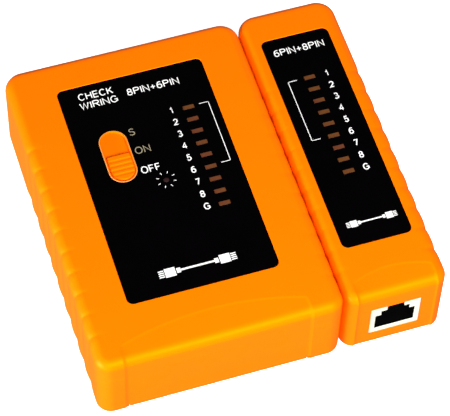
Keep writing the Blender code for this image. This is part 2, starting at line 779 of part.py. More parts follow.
def main_bottom_case(unit):
    def build(bm):
        add_bottom_outside(bm, MAIN_WIDTH, MAIN_SCOOP)

    case = place("main_bottom_case", mesh_of("main_bottom_case", build), "orange_abs", unit)
    combine(case, "DIFFERENCE", lambda bm: add_cavity(bm, MAIN_WIDTH, (FLOOR, PART_Z + PAST)))
    combine(case, "UNION", lambda bm: add_posts(bm, MAIN_POSTS, MAIN_BOARD_RESTS))
    outer, chamber_outer, chamber_inner = channel_spans()
    low, high = RAIL_HEAD_Z

    def add_channel_block(bm):
        x = (chamber_inner - CHANNEL_WALL, outer - WALL / 2)
        y = (RAIL_Y[0] - GAP - CHANNEL_WALL, FAR_Y - WALL / 2)
        add_box(bm, x, y, (low - GAP - CHANNEL_WALL, high + GAP + CHANNEL_WALL))

    def add_bay_walls(bm):
        west, east = BATTERY_BAY_X
        near, far = BATTERY_BAY_Y
        top = PART_Z - GAP
        add_box(bm, (west - BAY_WALL, east + BAY_WALL), (far, far + BAY_WALL), (FLOOR / 2, top))
        for x in ((west - BAY_WALL, west), (east, east + BAY_WALL)):
            add_box(bm, x, (near - WALL / 2, far + BAY_WALL / 2), (FLOOR / 2, top))

    def add_channel(bm):
        span = (RAIL_Y[0] - GAP, FAR_Y + PAST)
        neck_low, neck_high = RAIL_NECK_Z
        add_box(bm, (chamber_inner, chamber_outer), span, (low - GAP, high + GAP))
        add_box(bm, (chamber_outer - GAP, outer + PAST), span, (neck_low - GAP, neck_high + GAP))

    def add_door_opening(bm):
        west, east = DOOR_X
        span = (NEAR_Y - PAST, DOOR_FAR_Y + GAP)
        add_box(bm, (west - GAP, east + GAP), span, (-PAST, DOOR_Z[1] + GAP))

    def add_door_grooves(bm):
        west, east = DOOR_X
        span = (NEAR_Y - PAST, DOOR_FAR_Y + GAP)
        side = DOOR_TONGUE + GAP
        groove_z = (DOOR_TONGUE_Z[0] - GAP, DOOR_TONGUE_Z[1] + GAP)
        add_box(bm, (west - side, east + side), span, groove_z)

    def add_bay_opening(bm):
        add_box(bm, (BATTERY_BAY_X[0], DOOR_X[1] + GAP), BATTERY_BAY_Y, (FLOOR / 2, FLOOR + PAST))

    def add_slots(bm):
        wall = (FAR_Y - WALL - 2 * PAST, FAR_Y + PAST)
        jack_slot(bm, EIGHT_WAY, MAIN_EIGHT_WAY_X, wall)
        jack_slot(bm, SIX_WAY, MAIN_SIX_WAY_X, wall)

    def add_lead_notch(bm):
        far = BATTERY_BAY_Y[1]
        span = (far - PAST, far + BAY_WALL + PAST)
        add_box(bm, LEAD_NOTCH_X, span, (LEAD_NOTCH_FLOOR, PART_Z + PAST))

    combine(case, "UNION", add_channel_block)
    combine(case, "UNION", add_bay_walls, overlapping=True)
    combine(case, "DIFFERENCE", add_channel, overlapping=True)
    for cut in (add_door_opening, add_door_grooves, add_bay_opening, add_slots, add_lead_notch):
        combine(case, "DIFFERENCE", cut)
    combine(case, "DIFFERENCE", lambda bm: add_screw_bores(bm, MAIN_POSTS))
    combine(case, "DIFFERENCE", lambda bm: add_bore_steps(bm, MAIN_POSTS))


def battery_door(unit):
    """A plate whose side tongues run in the floor's grooves, with finger ridges cut in its outer face."""
    slide = empty("battery_door_slide", (0, NEAR_Y, 0), unit)
    west, east = DOOR_X
    depth = DOOR_FAR_Y - NEAR_Y

    def add_plate(bm):
        add_box(bm, DOOR_X, (END_RECESS, depth), DOOR_Z)

    def add_tongues(bm):
        span = (WALL, depth - DOOR_TONGUE)
        add_box(bm, (west - DOOR_TONGUE, east + DOOR_TONGUE), span, DOOR_TONGUE_Z)

    def add_ridges(bm):
        for index in range(DOOR_RIDGES):
            y = DOOR_RIDGE_START + index * DOOR_RIDGE_PITCH
            span = (y, y + DOOR_RIDGE_PITCH / 2)
            add_box(bm, DOOR_RIDGE_X, span, (-PAST, DOOR_Z[0] + DOOR_RIDGE_DEPTH))

    door = place("battery_door", mesh_of("battery_door", add_plate), "orange_abs", slide)
    combine(door, "UNION", add_tongues)
    combine(door, "DIFFERENCE", add_ridges)


def add_snap_pair(bm, x, z, slack):
    """The two round snaps of a 9 V battery as stubs along X, made larger by a slack."""
    turn = Matrix.Rotation(math.pi / 2, 4, "Y")
    for y, radius in ((-TERMINAL_SPREAD, POSITIVE_RADIUS), (TERMINAL_SPREAD, NEGATIVE_RADIUS)):
        matrix = Matrix.Translation(((x[0] + x[1]) / 2, y, z)) @ turn
        size = {"radius1": radius + slack, "radius2": radius + slack, "depth": x[1] - x[0]}
        bmesh.ops.create_cone(bm, cap_ends=True, segments=ROUND_STEPS, matrix=matrix, **size)


def battery(unit):
    """A 9 V block with its two snap terminals on the end that faces +X."""
    length, width, height = BATTERY_SIZE

    def add_block(bm):
        add_box(bm, (-length / 2, length / 2), (-width / 2, width / 2), (0, height))
        edges = [e for e in bm.edges if abs(e.verts[0].co.x - e.verts[1].co.x) > length / 2]
        bmesh.ops.bevel(bm, geom=edges, offset=BATTERY_EDGE, segments=2, profile=0.5, affect="EDGES")

    def add_terminals(bm):
        end = length / 2
        add_snap_pair(bm, (end - PAST, end + TERMINAL_HEIGHT), height / 2, 0)

    cell = place("battery_9v", mesh_of("battery_9v", add_block), "battery_jacket", unit, BATTERY_AT)
    combine(cell, "UNION", add_terminals)


def battery_clip(unit):
    """A snap clip whose two pockets fit over the terminals."""
    thickness, width, height = CLIP_SIZE
    x = BATTERY_AT[0] + BATTERY_SIZE[0] / 2 + GAP
    z = BATTERY_AT[2] + (BATTERY_SIZE[2] - height) / 2

    def add_body(bm):
        add_box(bm, (0, thickness), (-width / 2, width / 2), (0, height))

    def add_pockets(bm):
        add_snap_pair(bm, (-PAST, TERMINAL_HEIGHT + GAP), height / 2, GAP)

    at = (x, BATTERY_AT[1], z)
    clip = place("battery_clip", mesh_of("battery_clip", add_body), "chip_black", unit, at)
    combine(clip, "DIFFERENCE", add_pockets)


def power_switch(unit):
    """A metal-cased slide switch on the board and the orange slider that its lever carries."""
    top = SLIDER_TOP_Z - SLIDER_THICKNESS - 2 * GAP

    def add_body(bm):
        half_x, half_y = SWITCH_BODY_SIZE[0] / 2, SWITCH_BODY_SIZE[1] / 2
        x, y = (SWITCH_X - half_x, SWITCH_X + half_x), (SWITCH_Y - half_y, SWITCH_Y + half_y)
        add_box(bm, x, y, (BOARD_TOP + GAP, top))

    place("switch_body", mesh_of("switch_body", add_body), "steel", unit)

    slide = empty("power_switch_slide", (SWITCH_X, KNOB_OFF_Y, SLIDER_TOP_Z), unit)
    cover = SWITCH_WINDOW[1] / 2 + SLIDER_COVER
    skirt = (SWITCH_Y - cover - KNOB_OFF_Y - SWITCH_TRAVEL, SWITCH_Y + cover - KNOB_OFF_Y)
    half_x, half_y = KNOB_SIZE[0] / 2, KNOB_SIZE[1] / 2
    knob_top = KNOB_TOP_Z - SLIDER_TOP_Z

    def add_skirt(bm):
        add_box(bm, (-SLIDER_WIDTH / 2, SLIDER_WIDTH / 2), skirt, (-SLIDER_THICKNESS, 0))

    def add_knob(bm):
        add_prism(bm, knob_outline(half_x, half_y), (-SLIDER_THICKNESS / 2, knob_top))

    def add_grooves(bm):
        width, depth = KNOB_GROOVE
        for index in range(KNOB_GROOVES):
            y = (index - (KNOB_GROOVES - 1) / 2) * KNOB_GROOVE_PITCH
            x = (-half_x - PAST, half_x + PAST)
            add_box(bm, x, (y - width / 2, y + width / 2), (knob_top - depth, knob_top + PAST))

    knob = place("switch_knob", mesh_of("switch_knob", add_skirt), "orange_abs", slide)
    combine(knob, "UNION", add_knob)
    combine(knob, "DIFFERENCE", add_grooves)


def knob_outline(half_x, half_y):
    """Square at the far end, and round at the near end like the window."""
    round_end = arc((0, -half_y + half_x), half_x, 2, 4, KNOB_ROUND_STEPS)
    return [*round_end, (half_x, half_y), (-half_x, half_y)]


def main_unit():
    unit = empty("main_unit", (MAIN_X, 0, 0))
    main_top_case(unit)
    main_bottom_case(unit)
    lip = (SWITCH_WINDOW[0] + 2 * (SWITCH_LIP + GAP), SWITCH_WINDOW[1] + 2 * (SWITCH_LIP + GAP))

    def add_switch_hole(bm):
        hole = stadium(*lip, WINDOW_STEPS, (SWITCH_X, SWITCH_Y))
        add_prism(bm, hole, (HEIGHT - PAST, HEIGHT + PAST))

    label("main_label", MAIN_LABEL_WIDTH, unit, add_switch_hole)
    holes = [post for post in MAIN_POSTS if post[1] > MAIN_BOARD_Y[0]]
    board("main_pcb", MAIN_WIDTH - 2 * WALL - BOARD_SLACK, MAIN_BOARD_Y, holes, unit)
    front = FAR_Y - JACK_SETBACK
    jack_with_contacts("main", "rj45", EIGHT_WAY, unit, MAIN_EIGHT_WAY_X, front, False)
    jack_with_contacts("main", "rj11", SIX_WAY, unit, MAIN_SIX_WAY_X, front, False)
    power_switch(unit)
    lamps("main", lamp, MAIN_LAMP_X, unit)

    def add_power_lamp(bm):
        height = (BOARD_TOP + GAP, LAMP_TOP_Z)
        add_cylinder(bm, POWER_LAMP_RADIUS, POWER_LAMP_AT, height, ROUND_STEPS)

    place("power_led", mesh_of("power_led", add_power_lamp, True), "lamp_lens", unit)
    chip("counter_chip", COUNTER_CHIP[0], unit, COUNTER_CHIP[1])
    chip("timer_chip", TIMER_CHIP[0], unit, TIMER_CHIP[1])
    capacitor("timing_capacitor", unit, CAPACITOR_AT)
    battery(unit)
    battery_clip(unit)
    battery_door(unit)
    screws("main", MAIN_POSTS, screw, unit)
    clip_top = BATTERY_AT[2] + (BATTERY_SIZE[2] + CLIP_SIZE[2]) / 2
    for name, x in LEADS:
        route = [
            (x, -33 * MM, clip_top + GAP),
            (x, -32.4 * MM, clip_top + 1.3 * MM),
            (x, -29.5 * MM, clip_top + 2 * MM),
            (x - 0.2 * MM, -25.5 * MM, 18.2 * MM),
            (x - 1.2 * MM, -21.5 * MM, 16.6 * MM),
            (x - 3 * MM, -17 * MM, 16 * MM),
            (x - 4 * MM, -14 * MM, 17.2 * MM),
            (x - 4.2 * MM, -13 * MM, BOARD_Z - GAP),
        ]
        lead(name, name, route, unit)


# --- remote unit ----------------------------------------------------------------------------------


def remote_bottom_case(unit):
    def build(bm):
        add_bottom_outside(bm, REMOTE_WIDTH, REMOTE_SCOOP)

    case = place("remote_bottom_case", mesh_of("remote_bottom_case", build), "orange_abs", unit)
    combine(case, "DIFFERENCE", lambda bm: add_cavity(bm, REMOTE_WIDTH, (FLOOR, PART_Z + PAST)))
    combine(case, "UNION", lambda bm: add_posts(bm, REMOTE_POSTS, REMOTE_BOARD_RESTS))
    inner_side = -REMOTE_WIDTH / 2
    head_outer = inner_side - RAIL_NECK_REACH

    def add_rail(bm):
        """A T in section, from inside the wall out to the head."""
        neck_low, neck_high = RAIL_NECK_Z
        low, high = RAIL_HEAD_Z
        root, tip = inner_side + WALL / 2, head_outer - RAIL_HEAD_THICKNESS
        outline = [
            (root, neck_low),
            (root, neck_high),
            (head_outer, neck_high),
            (head_outer, high),
            (tip, high),
            (tip, low),
            (head_outer, low),
            (head_outer, neck_low),
        ]
        add_loft(bm, [[(x, y, z) for x, z in outline] for y in reversed(RAIL_Y)])

    def add_slots(bm):
        jack_slot(bm, EIGHT_WAY, 0, (NEAR_Y - PAST, NEAR_Y + WALL + 2 * PAST))
        jack_slot(bm, SIX_WAY, 0, (FAR_Y - WALL - 2 * PAST, FAR_Y + PAST))

    combine(case, "UNION", add_rail)
    combine(case, "DIFFERENCE", add_slots)
    combine(case, "DIFFERENCE", lambda bm: add_screw_bores(bm, REMOTE_POSTS))
    combine(case, "DIFFERENCE", lambda bm: add_bore_steps(bm, REMOTE_POSTS))


def remote_unit():
    """Everything here hangs on an empty whose Y axis is the rail's sliding direction."""
    unit = empty("remote_slide", (REMOTE_X, 0, 0))
    top_case(
        "remote_top_case",
        REMOTE_WIDTH,
        REMOTE_SCOOP,
        REMOTE_POSTS,
        REMOTE_BOARD_Y,
        REMOTE_LABEL_WIDTH,
        REMOTE_LAMP_X,
        unit,
    )
    remote_bottom_case(unit)
    label("remote_label", REMOTE_LABEL_WIDTH, unit)
    board("remote_pcb", REMOTE_WIDTH - 2 * WALL - BOARD_SLACK, REMOTE_BOARD_Y, REMOTE_POSTS, unit)
    near_front = NEAR_Y + END_RECESS + JACK_SETBACK
    jack_with_contacts("remote", "rj45", EIGHT_WAY, unit, 0, near_front, True)
    jack_with_contacts("remote", "rj11", SIX_WAY, unit, 0, FAR_Y - JACK_SETBACK, False)
    lamps("remote", lamp, REMOTE_LAMP_X, unit)
    screws("remote", REMOTE_POSTS, screw, unit)


clear_scene()
parts = new_collection("network_cable_tester")
cutters = new_collection("cutters")
cutters.hide_render = True
lamp = lamp_mesh()
screw = screw_mesh()
main_unit()
remote_unit()
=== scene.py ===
"""Looks of the network cable tester: fine shells, printed labels, jacks, switch and battery, on the CAD frame.

Written as an add-on: properties hold the sizes and colours, one operator makes each group of pieces, and a
panel lists them. Every new piece is a surface worked out with numpy, in metres, in the frame of the CAD.
"""

import json
import math

import bpy
import numpy as np
from bpy.props import FloatProperty, FloatVectorProperty, IntProperty, PointerProperty
from bpy.types import Operator, Panel, PropertyGroup
from mathutils import Matrix, Vector


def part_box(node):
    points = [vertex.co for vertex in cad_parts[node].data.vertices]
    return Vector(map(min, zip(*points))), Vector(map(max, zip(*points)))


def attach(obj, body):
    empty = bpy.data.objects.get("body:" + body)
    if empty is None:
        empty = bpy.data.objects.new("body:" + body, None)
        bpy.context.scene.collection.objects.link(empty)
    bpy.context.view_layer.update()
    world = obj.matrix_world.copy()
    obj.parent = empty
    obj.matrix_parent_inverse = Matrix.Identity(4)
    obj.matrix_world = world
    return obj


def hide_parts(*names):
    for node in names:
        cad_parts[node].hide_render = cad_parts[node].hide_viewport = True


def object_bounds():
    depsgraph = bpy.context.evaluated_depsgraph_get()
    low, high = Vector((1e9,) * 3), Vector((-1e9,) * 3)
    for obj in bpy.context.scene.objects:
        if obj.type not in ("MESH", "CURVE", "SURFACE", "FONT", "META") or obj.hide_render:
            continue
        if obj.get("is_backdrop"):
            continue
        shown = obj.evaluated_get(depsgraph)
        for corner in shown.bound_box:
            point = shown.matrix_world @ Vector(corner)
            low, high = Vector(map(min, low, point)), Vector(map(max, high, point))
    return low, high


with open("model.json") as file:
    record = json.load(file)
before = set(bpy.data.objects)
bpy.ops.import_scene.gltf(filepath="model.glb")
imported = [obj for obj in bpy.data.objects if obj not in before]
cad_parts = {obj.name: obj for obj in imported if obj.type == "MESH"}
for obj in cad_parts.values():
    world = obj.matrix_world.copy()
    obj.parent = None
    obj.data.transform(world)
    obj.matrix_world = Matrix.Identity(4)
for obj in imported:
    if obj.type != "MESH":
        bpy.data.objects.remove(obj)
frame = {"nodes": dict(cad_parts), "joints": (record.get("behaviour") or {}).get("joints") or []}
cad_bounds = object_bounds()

bl_info = {
    "name": "Cable Tester Looks",
    "version": (1, 0, 0),
    "blender": (4, 5, 0),
    "location": "View3D > Sidebar > Tester",
    "description": "Detailed shells, labels, jacks, switch and battery of a two-part cable tester",
    "category": "Object",
}

MM = 0.001
LAMP_NAMES = ("1", "2", "3", "4", "5", "6", "7", "8", "g")
CASE_GAP = 0.3 * MM  # between the two halves of a CAD casing
SKIN_GAP = 0.05 * MM  # between neighbouring pieces as they are drawn
PARTING = 0.03 * MM  # between the two shells of a casing as they are drawn, and the width of their chamfers
PAST = 1 * MM  # how far a cutter runs past the face that it opens
SMOOTH_ANGLE = math.radians(30)


# --- places read from the frame -------------------------------------------------------------------


def corners_of(node):
    """Lowest and highest corner of a CAD node's box, as arrays."""
    return tuple(np.array(corner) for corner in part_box(node))


def middle_of(node):
    low, high = corners_of(node)
    return (low + high) / 2


def size_of(node):
    low, high = corners_of(node)
    return high - low


def unit_frame(unit, posts):
    """Middle, half sizes and heights of one unit's casing, and the places of its screw posts."""
    low, high = corners_of(f"{unit}_top_case")
    return {
        "name": unit,
        "body": f"{unit}_unit",
        "x": (low[0] + high[0]) / 2,
        "half": (high[:2] - low[:2]) / 2,
        "top": high[2],
        "part": low[2] - CASE_GAP / 2,
        "facing": 1 if unit == "main" else -1,
        "posts": [middle_of(f"{unit}_case_screw_{i + 1}")[:2] for i in range(posts)],
    }


MAIN = unit_frame("main", 4)
REMOTE = unit_frame("remote", 2)


# --- settings -------------------------------------------------------------------------------------


def length_setting(label, text, value):
    return FloatProperty(name=label, description=text, default=value * MM, unit="LENGTH", precision=5)


def color_setting(label, text, value):
    limits = {"min": 0, "max": 1, "size": 3}
    return FloatVectorProperty(name=label, description=text, default=value, subtype="COLOR", **limits)


def share_setting(label, text, value):
    return FloatProperty(name=label, description=text, default=value, min=0, max=1, subtype="FACTOR")


class TesterCasingSettings(PropertyGroup):
    """Sizes and colour of the moulded shells."""

    color: color_setting("Colour", "Moulded plastic of the cases, switch and door", (1.0, 0.157, 0.0))
    sheen: color_setting("Sheen", "Tint of the plastic's highlights", (1.0, 0.55, 0.0))
    roughness: share_setting("Roughness", "Mean roughness of the moulded plastic", 0.46)
    near_corner: length_setting("Near corner", "Corner radius at the near end, seen from above", 4.6)
    far_corner: length_setting("Far corner", "Corner radius at the far end, seen from above", 6)
    top_edge: length_setting("Top edge", "Radius of the upper edges", 3)
    bottom_edge: length_setting("Bottom edge", "Radius of the lower edges", 1.2)
    wall: length_setting("Wall", "Wall, floor and ceiling thickness", 2.2)
    groove_pitch: length_setting("Groove pitch", "Distance between finger grooves", 7.57)
    groove_depth: length_setting("Groove depth", "Depth of a finger groove in an outer side wall", 0.4)
    facing_depth: length_setting("Facing groove depth", "The same in the sides that face the other unit", 0.18)
    groove_first: length_setting("First groove", "First groove's distance from the near end", 11.5)
    grooves: IntProperty(name="Grooves", description="Finger grooves on each long side", default=10, min=1)
    main_recess: length_setting("Main end recess", "How far the near end's middle is set back", 0.3)
    remote_recess: length_setting("Remote end recess", "How far the near end's middle is set back", 0.4)
    scoop_step: length_setting("Scoop step", "Drop at the scoop's arc", 0.08)
    scoop_ramp: length_setting("Scoop ramp", "Width of the drop at the scoop's arc", 0.9)
    scoop_slope: FloatProperty(name="Scoop slope", description="Fall towards the near end", default=0.05)
    main_scoop_radius: length_setting("Main scoop radius", "Radius of the main unit's arc", 94)
    main_scoop_reach: length_setting("Main scoop reach", "The arc's distance from the near end", 10.9)
    remote_scoop_radius: length_setting("Remote scoop radius", "Radius of the remote unit's arc", 30)
    remote_scoop_reach: length_setting("Remote scoop reach", "The arc's distance from the near end", 9.5)


class TesterLabelSettings(PropertyGroup):
    """Sizes and inks of the printed labels."""

    film: color_setting("Film", "Black of the overlay", (0.0006, 0.0004, 0.0006))
    ink: color_setting("Ink", "White print", (0.92, 0.92, 0.9))
    pale_ink: color_setting("Pale ink", "Print beside the upper switch positions", (0.29, 0.245, 0.16))
    corner: length_setting("Corner", "Corner radius of a label", 2)
    sunk: length_setting("Sunk", "How far a label lies below the case's top", 0.08)
    line: length_setting("Line", "Width of the bracket's line", 0.22)
    letter: length_setting("Letter", "Height of the capitals", 2.6)
    digit: length_setting("Digit", "Height of the lamps' numbers", 2.4)


class TesterLampSettings(PropertyGroup):
    """Lamp lenses under the label windows."""

    color: color_setting("Lens", "Unlit lens", (0.15, 0.05, 0.011))
    power: color_setting("Power lens", "Unlit power lamp", (0.036, 0.015, 0.01))
    window_width: length_setting("Window width", "Window in the label", 3.7)
    window_height: length_setting("Window height", "Window in the label", 1.7)
    power_radius: length_setting("Power window", "Radius of the power lamp's window", 1.05)


class TesterStageSettings(PropertyGroup):
    """Camera and light."""

    focal: FloatProperty(name="Focal length", description="Lens in millimetres", default=185.18)
    key: FloatProperty(name="Overhead", description="Power of the light over the near end", default=7.3)
    fill: FloatProperty(name="Left side", description="Power of the low light at the left", default=19.0)
    back: FloatProperty(name="Far side", description="Power of the weak low light at the far side", default=2)
    world: FloatProperty(name="Surroundings", description="Strength of the grey surroundings", default=0.15)
    glow: FloatProperty(name="Floor glow", description="Light that the backlit floor gives off", default=1.0)
    floor: color_setting("Floor", "Pale floor", (0.93, 0.93, 0.93))


# --- surfaces -------------------------------------------------------------------------------------


def smoothstep(x):
    """0 below 0, 1 above 1, and 3x² - 2x³ between."""
    x = np.clip(x, 0, 1)
    return x * x * (3 - 2 * x)


def linked(name, data):
    """A new object in the scene that shows this data."""
    made = bpy.data.objects.new(name, data)
    bpy.context.scene.collection.objects.link(made)
    return made


def solid(name, points, quads, caps):
    """Object at the origin with these faces, turned outwards if the volume that they enclose is negative."""
    fans = [np.stack([np.full(len(cap) - 2, cap[0]), cap[1:-1], cap[2:]], -1) for cap in caps]
    triangles = np.concatenate([quads[:, [0, 1, 2]], quads[:, [0, 2, 3]], *fans])
    if np.linalg.det(points[triangles]).sum() < 0:
        quads, caps = quads[:, ::-1], [cap[::-1] for cap in caps]
    loops = np.concatenate([quads.ravel(), *caps]).astype(np.int32)
    sizes = np.concatenate([np.full(len(quads), 4), [len(cap) for cap in caps]])
    mesh = bpy.data.meshes.new(name)
    mesh.vertices.add(len(points))
    mesh.vertices.foreach_set("co", points.astype(np.float32).ravel())
    mesh.loops.add(len(loops))
    mesh.loops.foreach_set("vertex_index", loops)
    mesh.polygons.add(len(sizes))
    starts = np.concatenate([[0], np.cumsum(sizes)[:-1]])
    mesh.polygons.foreach_set("loop_start", starts.astype(np.int32))
    mesh.update(calc_edges=True)
    return linked(name, mesh)


def loft(name, rings):
    """Solid through rings of equal count: point (r, c) is joined to (r + 1, c) and to (r, c + 1), wrapping
    round, and the first and last rings are capped."""
    rings = np.asarray(rings, float)
    rows, columns = rings.shape[:2]
    start = np.arange(rows - 1)[:, None] * columns
    here, after = start + np.arange(columns), start + (np.arange(columns) + 1) % columns
    quads = np.stack([here, after, after + columns, here + columns], -1).reshape(-1, 4)
    ends = np.arange(columns)[::-1], (rows - 1) * columns + np.arange(columns)
    return solid(name, rings.reshape(-1, 3), quads, ends)


def rounded(size, radius, steps):
    """Outline of a rounded rectangle round its middle, anticlockwise, and the outward direction at each point.
    With no radius it is four corners, whose directions are the diagonals (1, 1)."""
    half = np.array(size) / 2 - radius
    signs = np.array([(1, 1), (-1, 1), (-1, -1), (1, -1)], float)
    if radius == 0:
        return signs * half, signs
    angles = (np.arange(4)[:, None] + np.linspace(0, 1, steps + 1)) * np.pi / 2
    out = np.stack([np.cos(angles), np.sin(angles)], -1)
    return (signs[:, None] * half + radius * out).reshape(-1, 2), out.reshape(-1, 2)


AXES = {"Z": [0, 1, 2], "Y": [0, 2, 1], "X": [1, 2, 0]}


def swept(name, outline, out, levels, along="Z"):
    """Solid whose section is an outline moved outwards by each level's growth, at the level's place on an axis."""
    rings = [np.column_stack([outline + growth * out, np.full(len(outline), at)]) for at, growth in levels]
    placed = np.empty((len(levels), len(outline), 3))
    placed[..., AXES[along]] = rings
    return loft(name, placed)


def slab(name, at, size, radius, levels, steps=10, along="Z"):
    """Rounded rectangular block about a middle in the plane across its axis, with (place, growth) levels."""
    outline, out = rounded(size, radius, steps)
    return swept(name, outline + np.array(at), out, levels, along)


def block(name, low, high):
    """Plain box between two corners, for a cutter or a hidden wall."""
    low, high = np.array(low), np.array(high)
    return slab(name, (low + high)[:2] / 2, (high - low)[:2], 0, ((low[2], 0), (high[2], 0)))


def turned(name, at, levels, steps=40, along="Z"):
    """Solid of revolution from (place along the axis, radius) levels."""
    angles = np.linspace(0, 2 * np.pi, steps, endpoint=False)
    out = np.stack([np.cos(angles), np.sin(angles)], -1)
    return swept(name, np.tile(np.array(at, float), (steps, 1)), out, levels, along)


def rod(name, at, radius, low, high, steps=40, along="Z"):
    """Plain round bar, as a boss or as the cutter of a round hole."""
    return turned(name, at, ((low, radius), (high, radius)), steps, along)


def levels_mm(base, *rows):
    """(place, growth) levels in metres from rows in millimetres, whose places are counted from a base."""
    return [(base + place * MM, growth * MM) for place, growth in rows]


def softened(low, high, radius, steps=4):
    """Levels of a straight side whose ends are rounded by quarter circles of a radius, with growth 0 between."""
    angles = np.linspace(0, np.pi / 2, steps + 1)
    rise, inset = radius * (1 - np.cos(angles)), radius * (1 - np.sin(angles))
    first = [(low + a, -b) for a, b in zip(rise, inset)]
    return first + [(high - a, -b) for a, b in zip(rise[::-1], inset[::-1])]


def mitred(outline):
    """Outward direction at each corner of an anticlockwise polygon, long enough to move both edges by one."""
    edges = np.roll(outline, -1, 0) - outline
    normals = np.stack([edges[:, 1], -edges[:, 0]], -1) / np.linalg.norm(edges, axis=1, keepdims=True)
    both = normals + np.roll(normals, 1, 0)
    return 2 * both / (both**2).sum(1, keepdims=True)


def combine(piece, operation, *tools):
    """Joins or cuts closed solids one by one, keeps the result as the piece's mesh, and drops the tools."""
    for tool in tools:
        modifier = piece.modifiers.new(operation, "BOOLEAN")
        modifier.operation = operation
        modifier.solver = "MANIFOLD"
        modifier.object = tool
    graph = bpy.context.evaluated_depsgraph_get()
    made = bpy.data.meshes.new_from_object(piece.evaluated_get(graph))
    before = piece.data
    piece.modifiers.clear()
    piece.data = made
    bpy.data.meshes.remove(before)
    made.name = piece.name
    for tool in tools:
        bpy.data.objects.remove(tool, do_unlink=True)
    return piece


def gathered(name, parts, shift=0.0):
    """One object from several sets of points and polygons, moved along X."""
    offset, faces = 0, []
    for points, polygons in parts:
        faces += [[i + offset for i in polygon] for polygon in polygons]
        offset += len(points)
    points = np.concatenate([points for points, _ in parts]) + (shift, 0, 0)
    mesh = bpy.data.meshes.new(name)
    mesh.from_pydata(points.tolist(), [], faces)
    return linked(name, mesh)


def joined(name, pieces):
    """One object that holds the loose shells of several, without their materials."""
    parts = []
    for piece in pieces:
        mesh = piece.data
        points = np.empty(len(mesh.vertices) * 3, np.float32)
        mesh.vertices.foreach_get("co", points)
        parts.append((points.reshape(-1, 3), [list(polygon.vertices) for polygon in mesh.polygons]))
        bpy.data.objects.remove(piece, do_unlink=True)
    return gathered(name, parts)


def coat(piece, finishes, which=0):
    """Adds materials to a piece and gives each polygon, or all of them, the one at this index."""
    for name in finishes:
        piece.data.materials.append(finish_of(name))
    chosen = np.broadcast_to(which, len(piece.data.polygons))
    piece.data.polygons.foreach_set("material_index", chosen.astype(np.int32))


def finish_piece(piece, body, finishes, nodes=(), smooth=True):
    """Shades a piece, gives it its materials unless it has them, ties it to its body, and hides the
    nodes that it stands for."""
    mesh = piece.data
    if smooth:
        mesh.shade_smooth()
        mesh.set_sharp_from_angle(angle=SMOOTH_ANGLE)
        weighted = piece.modifiers.new("even_shading", "WEIGHTED_NORMAL")
        weighted.keep_sharp = True
        weighted.weight = 60
    if finishes:
        mesh.materials.clear()
        coat(piece, finishes)
    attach(piece, body)
    if nodes:
        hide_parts(*nodes)


# --- materials ------------------------------------------------------------------------------------


class Wire:
    """A number that varies over a surface: a node's output that takes part in sums and products."""

    def __init__(self, finish, socket):
        self.finish, self.socket = finish, socket

    def maths(self, operation, first, second):
        return self.finish.node("ShaderNodeMath", {"operation": operation}, {0: first, 1: second})

    def __add__(self, other):
        return self.maths("ADD", self, other)

    __radd__ = __add__

    def __sub__(self, other):
        return self.maths("SUBTRACT", self, other)

    def __rsub__(self, other):
        return self.maths("SUBTRACT", other, self)

    def __mul__(self, other):
        return self.maths("MULTIPLY", self, other)

    __rmul__ = __mul__


class Finish:
    """A Principled material under construction, on Object coordinates in metres."""

    def __init__(self, name, specular=0.5, **constants):
        self.material = bpy.data.materials.new(name)
        self.material.use_nodes = True
        self.tree = self.material.node_tree
        self.shader = self.tree.nodes["Principled BSDF"]
        self.place = self.node("ShaderNodeTexCoord", {}, {}, "Object")
        self.set("Specular IOR Level", specular)
        for label, value in constants.items():
            self.set(label.title(), value)

    def node(self, kind, settings, inputs, output=0):
        """A node whose settings are made first, then its sockets' values or links."""
        made = self.tree.nodes.new(kind)
        for label, value in settings.items():
            if label == "stops":
                self.set_stops(made.color_ramp, value)
            else:
                setattr(made, label, value)
        for label, value in inputs.items():
            self.feed(made.inputs[label], value)
        return Wire(self, made.outputs[output])

    def set_stops(self, ramp, stops):
        for element, (at, value) in zip(ramp.elements, stops):
            element.position = at
            element.color = (value, value, value, 1)

    def feed(self, socket, value):
        if isinstance(value, Wire):
            self.tree.links.new(value.socket, socket)
        elif isinstance(value, (int, float)):
            socket.default_value = value
        else:
            values = tuple(value)
            socket.default_value = values + (1,) if len(values) < len(socket.default_value) else values

    def set(self, label, value):
        self.feed(self.shader.inputs[label], value)

    def noise(self, size, detail=2.0, stretch=(1, 1, 1)):
        """Fractal noise of about this grain size in metres, from 0 to 1, stretched along the axes."""
        place = self.place
        if stretch != (1, 1, 1):
            place = self.node("ShaderNodeMapping", {}, {"Vector": place, "Scale": stretch})
        return self.node("ShaderNodeTexNoise", {}, {"Vector": place, "Scale": 1 / size, "Detail": detail})

    def blend(self, share, first, second):
        """Colour that runs from the first to the second as the share goes from 0 to 1."""
        settings = {"data_type": "RGBA", "clamp_factor": True}
        return self.node("ShaderNodeMix", settings, {0: share, 6: first, 7: second}, 2)

    def ramp(self, value, low, high):
        """Straight rise from 0 at low to 1 at high."""
        return self.node("ShaderNodeMapRange", {}, {"Value": value, "From Min": low, "From Max": high})

    def bump(self, height, depth, strength=1.0):
        """Relief of the shader's normal from a height of 0 to 1 that stands for a depth in metres."""
        inputs = {"Height": height, "Distance": depth, "Strength": strength}
        self.set("Normal", self.node("ShaderNodeBump", {}, inputs))
        return self.material


def shade(color, factor):
    return tuple(min(channel * factor, 1) for channel in color)


GRAIN = 0.25 * MM
GRAIN_DEPTH = 0.004 * MM


